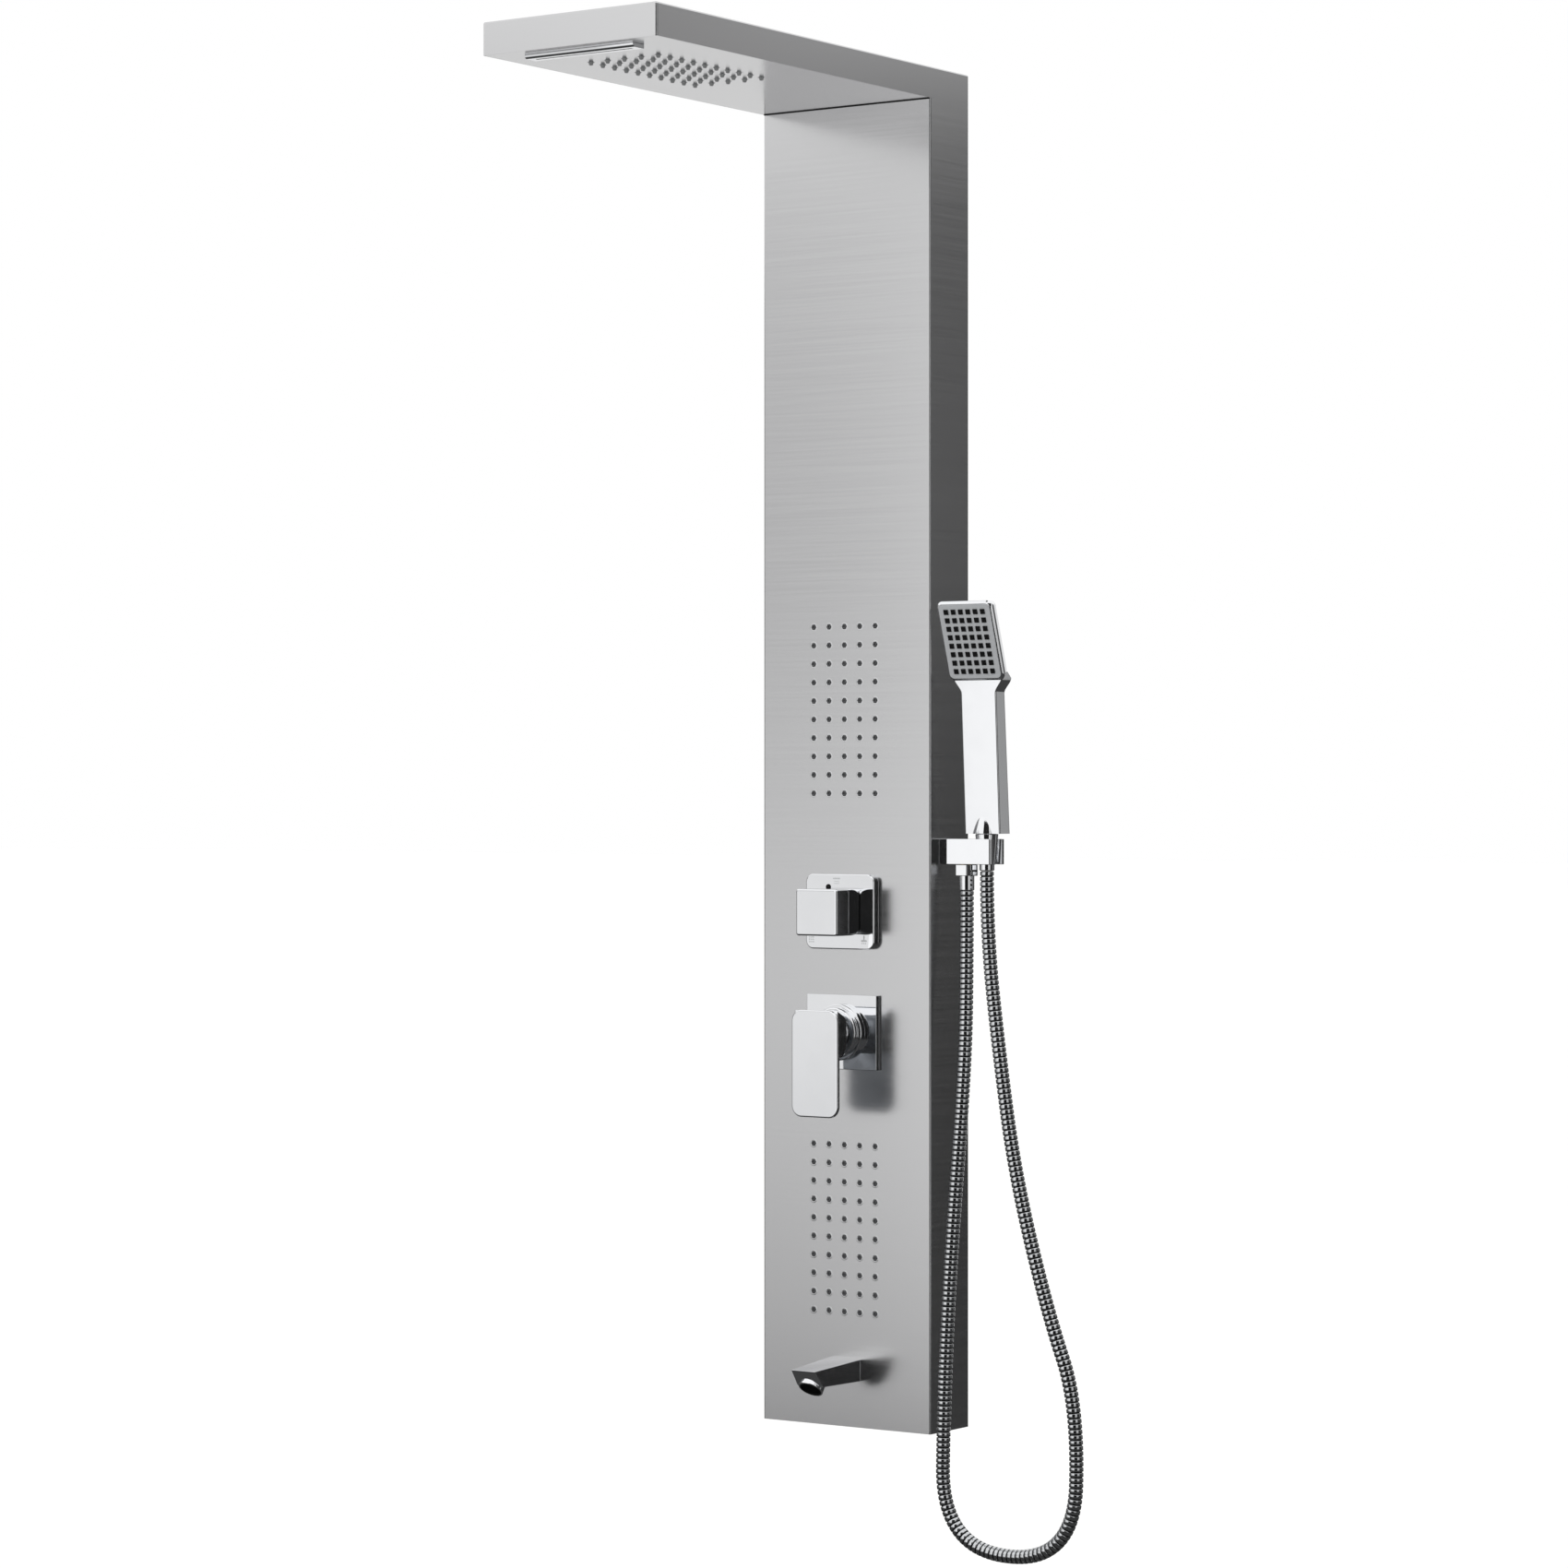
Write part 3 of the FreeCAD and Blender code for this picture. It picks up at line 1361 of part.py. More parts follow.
# ---- Hand shower -------------------------------------------------------------------------------------------
def handle_foot():
    return seat_axis(nut_top() + neck_gap)


def head_frame():
    """Centre of the spray face, its up direction and its outward normal."""
    tilt = math.radians(head_tilt)
    up = vec(0, -math.sin(tilt), math.cos(tilt))
    normal = vec(0, -math.cos(tilt), -math.sin(tilt))
    forward = handle_lean + handle_thickness / 2 + head_step
    return handle_foot() + vec(0, -forward, handle_length + 1.5) + up * head_length / 2, up, normal


def handset_handle():
    """Flat handle, leaning forward, whose shoulders flare on an arc to meet the head."""
    foot = handle_foot()
    flare = (head_width - head_corner - handle_width) / 2
    sweep = math.acos(1 - flare / shoulder_radius)
    stations = [(0.0, 0.0, 0.0, handle_thickness)]
    for step in range(shoulder_steps + 1):
        turn = sweep * step / shoulder_steps
        rise = shoulder_radius * math.sin(turn)
        spread = 2 * shoulder_radius * (1 - math.cos(turn))
        lean = handle_lean + rise * math.tan(math.radians(head_tilt + 7))
        stations.append((handle_length + rise, spread, lean, handle_top_thickness - 0.2 * rise))
    sections = []
    for height, spread, lean, thickness in stations:
        centre = foot + vec(0, -lean, height)
        sections.append(rectangle(handle_width + spread, thickness, handle_corner, centre))
    return Part.makeLoft(sections, True, True)


def handset_head():
    """Rounded square head with a bevelled front rim and a softened back."""
    centre, up, normal = head_frame()
    b = head_bevel
    stations = [(0.0, b), (0.85 * b, 0.2 * b), (1.7 * b, 0.0), (0.65 * head_depth, 0.0)]
    stations += [(0.88 * head_depth, 0.6 * b), (head_depth, 1.8 * b)]
    sections = []
    for depth, inset in stations:
        width = head_width - 2 * inset
        length = head_length - 2 * inset
        corner = head_corner - 0.4 * inset
        sections.append(rectangle(width, length, corner, centre - normal * depth, X_AXIS, up))
    return Part.makeLoft(sections, True, True)


def face_outline(margin, centre):
    """Outline of the spray face, drawn in from the head's edge by a margin."""
    up = head_frame()[1]
    width = head_width - 2 * margin
    length = head_length - 2 * margin
    return rectangle(width, length, head_corner - margin / 2, centre, X_AXIS, up)


def handset_body():
    """Chrome shell of the hand shower: handle, head, conical neck and thread, with the face's recess."""
    foot = handle_foot()
    centre, up, normal = head_frame()
    neck = Part.makeCone(neck_radius, handle_thickness / 2 - 1, neck_height, foot, Z_AXIS)
    thread = disc(handset_thread_radius, foot - Z_AXIS * (handset_thread_length + neck_gap), foot + Z_AXIS)
    body = handset_handle().fuse([handset_head(), neck, thread])
    floor = centre + normal * (face_proud - face_thickness - mat_thickness)
    recess = prism(face_outline(face_margin - face_nozzle_gap, floor), normal * head_depth)
    water_way = disc(water_bore, foot - Z_AXIS * neck_height, foot + Z_AXIS * (neck_height - 2), 12)
    return body.cut([recess, water_way]).removeSplitter()


def face_places():
    """Centres of the spray face's square nozzles, on the spray plate's back."""
    centre, up, normal = head_frame()
    back = centre + normal * (face_proud - face_thickness)
    places = []
    for row in range(face_rows):
        for column in range(face_columns):
            across = (column - (face_columns - 1) / 2) * face_pitch_across
            along = (row - (face_rows - 1) / 2) * face_pitch_along
            places.append(back + X_AXIS * across + up * along)
    return places


def handset_face():
    """Grey spray plate with a square hole for each nozzle."""
    centre, up, normal = head_frame()
    back = centre + normal * (face_proud - face_thickness)
    plate = prism(face_outline(face_margin, back), normal * face_thickness)
    side = face_nozzle_side + 2 * face_nozzle_gap
    through = normal * (face_thickness + 2)
    holes = [prism(rectangle(side, side, 0, p - normal, X_AXIS, up), through) for p in face_places()]
    return plate.cut(holes)


def handset_nozzles():
    """Black rubber mat with square nozzles through the spray plate."""
    centre, up, normal = head_frame()
    floor = centre + normal * (face_proud - face_thickness - mat_thickness)
    mat = prism(face_outline(face_margin + 1, floor), normal * mat_thickness)
    side = face_nozzle_side
    reach = normal * (face_thickness + face_nozzle_proud)
    posts = [prism(rectangle(side, side, 0, p, X_AXIS, up), reach) for p in face_places()]
    return mat.fuse(posts).removeSplitter()


# ---- Wall fixing -------------------------------------------------------------------------------------------
def wall_bracket(z):
    """Folded strip screwed to the wall, with a step and a lip that the hanger bar drops behind."""
    half = bracket_plate_height / 2
    t = bracket_sheet
    step = sheet + t + hook_gap
    top = half + t
    points = [
        (0, -half), (0, top), (-step, top), (-step, top + bracket_lip), (-step - t, top + bracket_lip),
        (-step - t, half), (-t, half), (-t, -half),
    ]
    profile = outline(points, [0] * 8, vec(-bracket_width / 2, 0, z), Y_AXIS, Z_AXIS)
    strip = prism(profile, X_AXIS * bracket_width)
    holes = []
    for side in (-1, 1):
        start = vec(side * bracket_hole_pitch / 2, t, z)
        holes.append(cylinder(bracket_hole_radius, start, start - Y_AXIS * 3 * t))
    return strip.cut(holes)


def hanger_bars():
    """Bars welded across the column's return flanges, each hung on its wall bracket's step."""
    bars = []
    half = inner_half - seam_gap - fold_radius + sheet
    for z in (0, -bracket_spacing):
        low = z + bracket_plate_height / 2 + bracket_sheet
        bars.append(box(-half, half, -sheet - bracket_sheet, -sheet, low, low + hanger_height))
    return Part.makeCompound(bars)


# ---- Inner pipes -------------------------------------------------------------------------------------------
def jet_pipe_y():
    """Depth of the jet chambers' spigots."""
    return inner_front + mat_thickness + chamber_depth / 2


def jet_spigot(across, height, end):
    """Mouth of a jet chamber's spigot at its upper or lower end."""
    length = chamber_size(jet_pitch_across, jet_pitch_along)[1]
    return vec(centre_line + across, jet_pipe_y(), level(height) + end * (length / 2 + spigot_length))


def port_seat(index):
    """Face of one of the diverter's ports."""
    return port_mouths()[index][0]


def mixer_to_diverter_pipe():
    return pipe([mixer_outlet(), port_seat(4)])


def rain_feed_pipe():
    """Up the column and forward to the rain chamber."""
    start = port_seat(0)
    z = level(column_height) + sheet + mat_thickness + chamber_depth / 2
    length = chamber_size(rain_pitch_across, rain_pitch_along)[1]
    return pipe([start, vec(start.x, pipe_y, z), vec(start.x, rain_y() + length / 2 + spigot_length, z)])


def waterfall_feed_pipe():
    """Up the column and forward over the rain chamber to the waterfall."""
    mouth = waterfall_spigot_mouth()
    return pipe([port_seat(1), vec(mouth.x, pipe_y, mouth.z), mouth])


def jet_feed_pipes():
    """One pipe from the diverter to the upper jets, and one on from there to the lower jets."""
    start = port_seat(2)
    mouth = jet_spigot(jet_feed_across, upper_jet_height, -1)
    rise = 2 * pipe_bend
    feed = pipe([start, start + Z_AXIS * rise, mouth - Z_AXIS * 1.8 * pipe_bend, mouth])
    top = jet_spigot(jet_link_across, upper_jet_height, -1)
    foot = jet_spigot(jet_link_across, lower_jet_height, 1)
    lane = vec(half_width - side_lane, jet_pipe_y() + 4, 0)
    reach = 1.2 * pipe_bend
    down = vec(lane.x, lane.y, top.z - 3 * pipe_bend)
    back = vec(lane.x, lane.y, foot.z + 3 * pipe_bend)
    link = pipe([top, top - Z_AXIS * reach, down, back, foot + Z_AXIS * reach, foot])
    return Part.makeCompound([feed, link])


def handset_feed_pipe():
    """From the diverter's side port to the holder's stud."""
    start = port_seat(5)
    end = stud_tail()
    turn = start.x + 2 * pipe_bend
    return pipe([start, vec(turn, pipe_y, start.z), vec(turn, fitting_y, end.z), end])


def spout_feed_pipe():
    """Back behind the mixer, down between the supply hoses and forward to the spout's tail."""
    start = port_seat(3)
    end = outward(level(spout_height), -spout_tail_length)
    drop = start - Z_AXIS * 2 * pipe_bend
    top = vec(end.x, -back_lane, drop.z - 2 * pipe_bend)
    return pipe([start, drop, top, vec(end.x, -back_lane, end.z), end])


PIECES = {
    "column_shell": column_shell,
    "column_end_plate": column_end_plate,
    "overhead_shell": overhead_shell,
    "overhead_underside": overhead_underside,
    "overhead_bolts": overhead_bolts,
    "upper_jet_mat": upper_jet_mat,
    "upper_jet_chamber": upper_jet_chamber,
    "lower_jet_mat": lower_jet_mat,
    "lower_jet_chamber": lower_jet_chamber,
    "rain_nozzle_mat": rain_mat,
    "rain_chamber": rain_chamber,
    "chamber_nuts": chamber_nuts,
    "waterfall_lip": waterfall_lip,
    "waterfall_chamber": waterfall_chamber,
    "diverter_plate": diverter_plate,
    "diverter_body": diverter_body,
    "diverter_cartridge": diverter_cartridge,
    "diverter_clamp_nut": diverter_clamp_nut,
    "diverter_stem": lambda: stem_section(0),
    "diverter_knob": diverter_knob,
    "mixer_plate": mixer_plate,
    "mixer_body": mixer_body,
    "hot_inlet_nipple": lambda: inlet_nipple(-1),
    "cold_inlet_nipple": lambda: inlet_nipple(1),
    "mixer_clamp_ring": mixer_clamp_ring,
    "cartridge_housing": cartridge_housing,
    "cartridge_nut": cartridge_nut,
    "cartridge_turret": cartridge_turret,
    "mixer_dome": mixer_dome,
    "lever_pivot_pin": lambda: lever_pin(pivot_pin_radius, pivot_pin_length),
    "lever_stem": lever_stem,
    "mixer_lever": mixer_lever,
    "lever_grub_screw": lever_grub_screw,
    "spout_body": spout_body,
    "spout_aerator": spout_aerator,
    "spout_back_nut": spout_back_nut,
    "holder_block": holder_block,
    "holder_stud": holder_stud,
    "holder_back_nut": holder_back_nut,
    "hose_outlet_nipple": hose_outlet_nipple,
    "outlet_washer": outlet_washer,
    "hose_hex_nut": hose_hex_nut,
    "hose_lower_ferrule": hose_lower_ferrule,
    "shower_hose": shower_hose,
    "hose_upper_ferrule": hose_upper_ferrule,
    "conical_nut": conical_nut,
    "handset_washer": handset_washer,
    "handset_body": handset_body,
    "handset_face": handset_face,
    "handset_nozzles": handset_nozzles,
    "wall_bracket_upper": lambda: wall_bracket(0),
    "wall_bracket_lower": lambda: wall_bracket(-bracket_spacing),
    "hanger_bars": hanger_bars,
    "mixer_to_diverter_pipe": mixer_to_diverter_pipe,
    "rain_feed_pipe": rain_feed_pipe,
    "waterfall_feed_pipe": waterfall_feed_pipe,
    "jet_feed_pipes": jet_feed_pipes,
    "handset_feed_pipe": handset_feed_pipe,
    "spout_feed_pipe": spout_feed_pipe,
}

for node, make in PIECES.items():
    make().exportStep("parts/" + node + ".step")
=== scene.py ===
"""Shower panel column: looks, ribbed hose, nozzles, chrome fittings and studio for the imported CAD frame.

Row frame: +X to the right as a bather sees the panel, +Y into the wall, +Z up, in metres.
"""
import json
import math

import bmesh
import bpy
import numpy as np
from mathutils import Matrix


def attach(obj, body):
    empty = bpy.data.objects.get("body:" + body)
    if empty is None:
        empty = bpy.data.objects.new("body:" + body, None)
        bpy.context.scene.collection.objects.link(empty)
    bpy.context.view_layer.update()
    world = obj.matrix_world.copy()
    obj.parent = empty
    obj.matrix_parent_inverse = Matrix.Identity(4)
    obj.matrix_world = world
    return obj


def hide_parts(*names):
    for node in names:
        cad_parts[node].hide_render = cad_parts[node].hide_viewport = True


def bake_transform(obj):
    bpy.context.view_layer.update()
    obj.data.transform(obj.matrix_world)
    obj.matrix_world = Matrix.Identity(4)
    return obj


bl_info = {
    "name": "Shower Panel Column",
    "version": (1, 0, 0),
    "blender": (4, 5, 0),
    "location": "View3D > Sidebar > Shower Panel",
    "description": "Builds the visible pieces, finishes and studio of a shower panel column on its CAD frame",
    "category": "Object",
}

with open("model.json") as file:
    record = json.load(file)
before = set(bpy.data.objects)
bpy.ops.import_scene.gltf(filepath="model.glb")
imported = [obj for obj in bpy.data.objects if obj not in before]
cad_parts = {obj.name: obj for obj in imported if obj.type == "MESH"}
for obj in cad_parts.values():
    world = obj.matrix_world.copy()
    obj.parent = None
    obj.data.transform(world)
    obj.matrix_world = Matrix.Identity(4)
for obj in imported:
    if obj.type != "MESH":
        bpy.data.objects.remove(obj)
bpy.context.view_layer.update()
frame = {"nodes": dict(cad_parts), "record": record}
MM = 0.001
MIDDLE = -0.002
FACE = -0.070
FOOT = -1.180
SIDE = 0.100
FITTING_Y = -0.041
DIVERTER_Z = -0.669
MIXER_Z = -0.7885
SMOOTH = 35
X = np.array([1.0, 0.0, 0.0])
Y = np.array([0.0, 1.0, 0.0])
Z = np.array([0.0, 0.0, 1.0])


# ---- Sizes and colours a user may change -------------------------------------------------------------------
def linear(code):
    """Linear RGB of an sRGB hex colour: below 0.04045 it is divided by 12.92, above it follows the 2.4 power."""
    shown = np.array([int(code[i:i + 2], 16) for i in (1, 3, 5)]) / 255
    return tuple(np.where(shown <= 0.04045, shown / 12.92, ((shown + 0.055) / 1.055) ** 2.4))


def colour(name, code, description):
    return bpy.props.FloatVectorProperty(
        name=name, description=description, default=linear(code), subtype="COLOR", size=3, min=0, max=1)


def length(name, millimetres, description):
    return bpy.props.FloatProperty(
        name=name, description=description, default=millimetres * MM, unit="LENGTH", precision=4)


class HoseSettings(bpy.types.PropertyGroup):
    diameter: length("Diameter", 14.0, "Outer diameter of the hose over its ribs")
    groove: length("Groove depth", 1.3, "How far the grooves lie below the ribs")
    pitch: length("Rib pitch", 5.1, "Distance from one rib to the next")
    real_length: length("Length", 1416.2, "Length of the hose from ferrule to ferrule")


class NozzleSettings(bpy.types.PropertyGroup):
    jet_pitch: length("Jet pitch", 18.4, "Distance between body jets, both ways")
    rain_across: length("Rain pitch across", 19.5, "Distance between rain nozzles across the arm")
    rain_along: length("Rain pitch along", 18.3, "Distance between rain nozzles along the arm")
    rim: length("Rim width", 1.1, "Width of the burnished rim pressed round each nozzle hole")


class FinishSettings(bpy.types.PropertyGroup):
    steel: colour("Steel", "#D5D5D6", "Brushed stainless steel of the column and the arm")
    chrome: colour("Chrome", "#F6F7F9", "Polished chrome plate of the fittings")
    hose: colour("Hose", "#D4D6D8", "Stainless strip of the hose")
    spray_plate: colour("Spray plate", "#B4B6B9", "Plastic of the hand shower's spray plate")
    rubber: colour("Rubber", "#070708", "Rubber nozzles and washers")
    silicone: colour("Silicone", "#4A4B4D", "Silicone mats behind the body jets")
    pale_silicone: colour("Pale silicone", "#97999B", "Silicone mat of the rain nozzles")
    print_grey: colour("Print", "#CFD1D2", "Ink of the pictograms on the diverter's plate")


class StudioSettings(bpy.types.PropertyGroup):
    floor: bpy.props.FloatProperty(
        name="Floor level", description="Height of the floor", default=-1.72, unit="LENGTH")
    fill: bpy.props.FloatProperty(
        name="Fill", description="Brightness of the world on dull surfaces", default=0.72, min=0)
    lens: bpy.props.FloatProperty(
        name="Lens", description="Focal length on a 36 mm sensor", default=104.17, unit="CAMERA")


# ---- Surfaces ----------------------------------------------------------------------------------------------
def surface(grid, ring=False):
    """Closed surface through rings of points (rings, around, 3).

    Quads join each ring to the next; the first and last close on their own centres, or on each other for a ring.
    """
    rings, around = grid.shape[:2]
    points = grid.reshape(-1, 3)
    step = np.arange(around)
    beside = (step + 1) % around
    low = np.arange(rings if ring else rings - 1)[:, None] * around
    high = (low + around) % (rings * around)
    faces = np.stack([low + step, low + beside, high + beside, high + step], -1).reshape(-1, 4)
    if not ring:
        last = (rings - 1) * around
        total = rings * around
        points = np.vstack([points, grid[0].mean(0), grid[-1].mean(0)])
        first_fan = np.stack([beside, step, np.full(around, total), np.full(around, total)], -1)
        last_fan = np.stack([last + step, last + beside] + [np.full(around, total + 1)] * 2, -1)
        faces = np.vstack([faces, first_fan, last_fan])
    a, b, c, d = (points[faces[:, i]] for i in range(4))
    volume = np.einsum("ij,ij->", a, np.cross(b, c)) + np.einsum("ij,ij->", a, np.cross(c, d))
    return points, faces if volume > 0 else faces[:, ::-1]


def repeated(part, places):
    """Copies of a part at many places: its points plus each place, its faces shifted by the points before."""
    points, faces = part
    shift = np.arange(len(places))[:, None, None] * len(points)
    return (points[None] + places[:, None]).reshape(-1, 3), (faces[None] + shift).reshape(-1, 4)


def rounded(half_width, half_height, corner, steps=6):
    """Rings round a rectangle: each corner's centre plus its radius at angles that rise through a quarter turn.

    One more point stands on the flat beside each end of a corner, so that the flat stays flat in reflections.
    """
    half_width, half_height, corner = np.broadcast_arrays(*map(np.atleast_1d, (half_width, half_height, corner)))
    turn = np.radians(np.linspace(0, 90, steps + 1) + 90 * np.arange(4)[:, None])
    side = np.array([1, -1, -1, 1])[:, None]
    end = np.array([1, 1, -1, -1])[:, None]
    w, h, r = (v[:, None, None] for v in (half_width, half_height, corner))
    flat = np.stack([side * (w - r) + r * np.cos(turn), end * (h - r) + r * np.sin(turn)], -1)
    along = np.stack([-np.sin(turn), np.cos(turn)], -1)
    beside = np.minimum(0.4, 0.3 * np.minimum(w - r, h - r))[..., None]
    flat = np.concatenate([flat[:, :, :1] - beside * along[:, :1], flat, flat[:, :, -1:] + beside * along[:, -1:]], 2)
    return flat.reshape(len(half_width), -1, 2)


def eased(corners, radii, steps=4):
    """Closed outline whose corners are eased: each is a parabola between two points a radius away along its sides."""
    corners = np.array(corners, float)
    radii = np.array(radii, float)[:, None]
    before = np.roll(corners, 1, 0) - corners
    after = np.roll(corners, -1, 0) - corners
    start = corners + before / np.linalg.norm(before, axis=1, keepdims=True) * radii
    end = corners + after / np.linalg.norm(after, axis=1, keepdims=True) * radii
    t = np.linspace(0, 1, steps + 1)[None, :, None]
    arcs = (1 - t) ** 2 * start[:, None] + 2 * t * (1 - t) * corners[:, None] + t ** 2 * end[:, None]
    points = arcs.reshape(-1, 2)
    return points[np.linalg.norm(points - np.roll(points, 1, 0), axis=1) > 1e-7]


def turned(profile, base, axis, across, sides=64):
    """Turned rings: each (along, radius) of the profile carried round the axis on a circle of that radius."""
    profile = np.asarray(profile, float)
    up = np.cross(axis, across)
    turn = np.linspace(0, 2 * math.pi, sides, endpoint=False)
    circle = np.cos(turn)[:, None] * across + np.sin(turn)[:, None] * up
    return base + profile[:, 0, None, None] * axis + profile[:, 1, None, None] * circle


def placed(flat, along, origin, across, up, way):
    """Flat rings set in space: origin plus across and up times their two numbers, plus each ring's own step."""
    along = np.atleast_1d(along)[:, None, None]
    return origin + flat[..., :1] * across + flat[..., 1:] * up + along * way


def on_face(flat, out, z):
    """Flat rings stood on the column's face, at a distance in front of it in millimetres."""
    return placed(flat * MM, np.asarray(out) * MM, np.array([MIDDLE, FACE, z]), X, Z, -Y)


def hung(profile, x, sides=64):
    """Turned part on a vertical axis beside the column; its profile is (height above the foot, radius) in mm."""
    base = np.array([x, FITTING_Y, FOOT])
    return surface(turned(np.asarray(profile) * MM, base, Z, X, sides), ring=True)


def piece(name, parts, material, body="column", replaces=(), smooth=SMOOTH):
    """Object from closed parts: smooth where neighbouring faces turn less than the given angle."""
    before = np.cumsum([0] + [len(part[0]) for part in parts])
    points = np.vstack([part[0] for part in parts])
    faces = np.vstack([part[1] + start for part, start in zip(parts, before)])
    lists = [f[:3] if f[2] == f[3] else f[1:] if f[0] == f[1] else f for f in faces.tolist()]
    mesh = bpy.data.meshes.new(name)
    mesh.from_pydata(points.tolist(), [], lists)
    return set_up(bpy.data.objects.new(name, mesh), material, body, replaces, smooth)


def set_up(obj, material, body, replaces, smooth):
    """Links a finished piece, gives it its material and lets it ride on its body."""
    bpy.context.collection.objects.link(obj)
    obj.data.shade_smooth()
    obj.data.set_sharp_from_angle(angle=math.radians(smooth))
    obj.data.materials.clear()
    obj.data.materials.append(material)
    if body:
        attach(obj, body)
    if replaces:
        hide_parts(*replaces)
    return obj


def softened(name, node, material, body="column", edge=0.5):
    """Copy of a CAD node with its triangles merged into flat faces and its sharper edges rounded, in millimetres."""
    mesh = frame["nodes"][node].data.copy()
    mesh.name = name
    shape = bmesh.new()
    shape.from_mesh(mesh)
    bmesh.ops.remove_doubles(shape, verts=shape.verts, dist=2e-6)
    bmesh.ops.dissolve_limit(shape, angle_limit=math.radians(1.0), verts=shape.verts, edges=shape.edges)
    bmesh.ops.recalc_face_normals(shape, faces=shape.faces)
    shape.to_mesh(mesh)
    shape.free()
    obj = bpy.data.objects.new(name, mesh)
    if edge:
        bevel = obj.modifiers.new("edges", "BEVEL")
        bevel.width = edge * MM
        bevel.segments = 3
        bevel.limit_method = "ANGLE"
        bevel.angle_limit = math.radians(25)
        bevel.harden_normals = True
        bevel.use_clamp_overlap = True
    return set_up(obj, material, body, [node], SMOOTH)


# ---- Materials ---------------------------------------------------------------------------------------------
def add_node(tree, kind, inputs=(), **settings):
    """Adds a node; inputs maps its sockets to values or to other nodes' outputs."""
    made = tree.nodes.new(kind)
    for key, value in settings.items():
        setattr(made, key, value)
    for key, value in dict(inputs).items():
        if isinstance(value, bpy.types.NodeSocket):
            tree.links.new(value, made.inputs[key])
        else:
            made.inputs[key].default_value = value
    return made


def ramp(tree, source, stops):
    """Colour ramp over a source; stops are (place, grey or colour)."""
    made = add_node(tree, "ShaderNodeValToRGB", {"Fac": source})
    elements = made.color_ramp.elements
    while len(elements) < len(stops):
        elements.new(0.5)
    for element, (place, value) in zip(elements, stops):
        element.position = place
        element.color = (*(value if hasattr(value, "__len__") else [value] * 3), 1)
    return made.outputs["Color"]


def grain(tree, mapping):
    """Noise over the piece's own coordinates; mapping is how many grains fit in a metre each way."""
    place = add_node(tree, "ShaderNodeTexCoord").outputs["Object"]
    scaled = add_node(tree, "ShaderNodeMapping", {"Vector": place, "Scale": mapping}).outputs["Vector"]
    noise = add_node(tree, "ShaderNodeTexNoise", {"Vector": scaled, "Scale": 1.0, "Detail": 2.0})
    return noise.outputs["Fac"]


def shade(name, base, metallic, roughness, pattern, spread, tint=0.06, bump=0.0, **sockets):
    """Material whose roughness, colour and surface vary with one pattern of grains per metre.

    Roughness runs from roughness minus spread to roughness plus spread, the colour darkens by tint, and bump
    is the pattern's height in millimetres.
    """
    material = bpy.data.materials.new(name)
    material.use_nodes = True
    tree = material.node_tree
    shader = tree.nodes["Principled BSDF"]
    shader.inputs["Metallic"].default_value = metallic
    for key, value in sockets.items():
        shader.inputs[key.replace("_", " ").capitalize().replace("Ior", "IOR")].default_value = value
    fac = grain(tree, pattern)
    base = np.array(base)
    rough = ramp(tree, fac, [(0.3, max(roughness - spread, 0)), (0.7, roughness + spread)])
    tree.links.new(rough, shader.inputs["Roughness"])
    tree.links.new(ramp(tree, fac, [(0.3, base * (1 - tint)), (0.7, base)]), shader.inputs["Base Color"])
    if bump:
        relief = add_node(tree, "ShaderNodeBump", {"Height": fac, "Distance": bump * MM, "Strength": 1.0})
        tree.links.new(relief.outputs["Normal"], shader.inputs["Normal"])
    return material


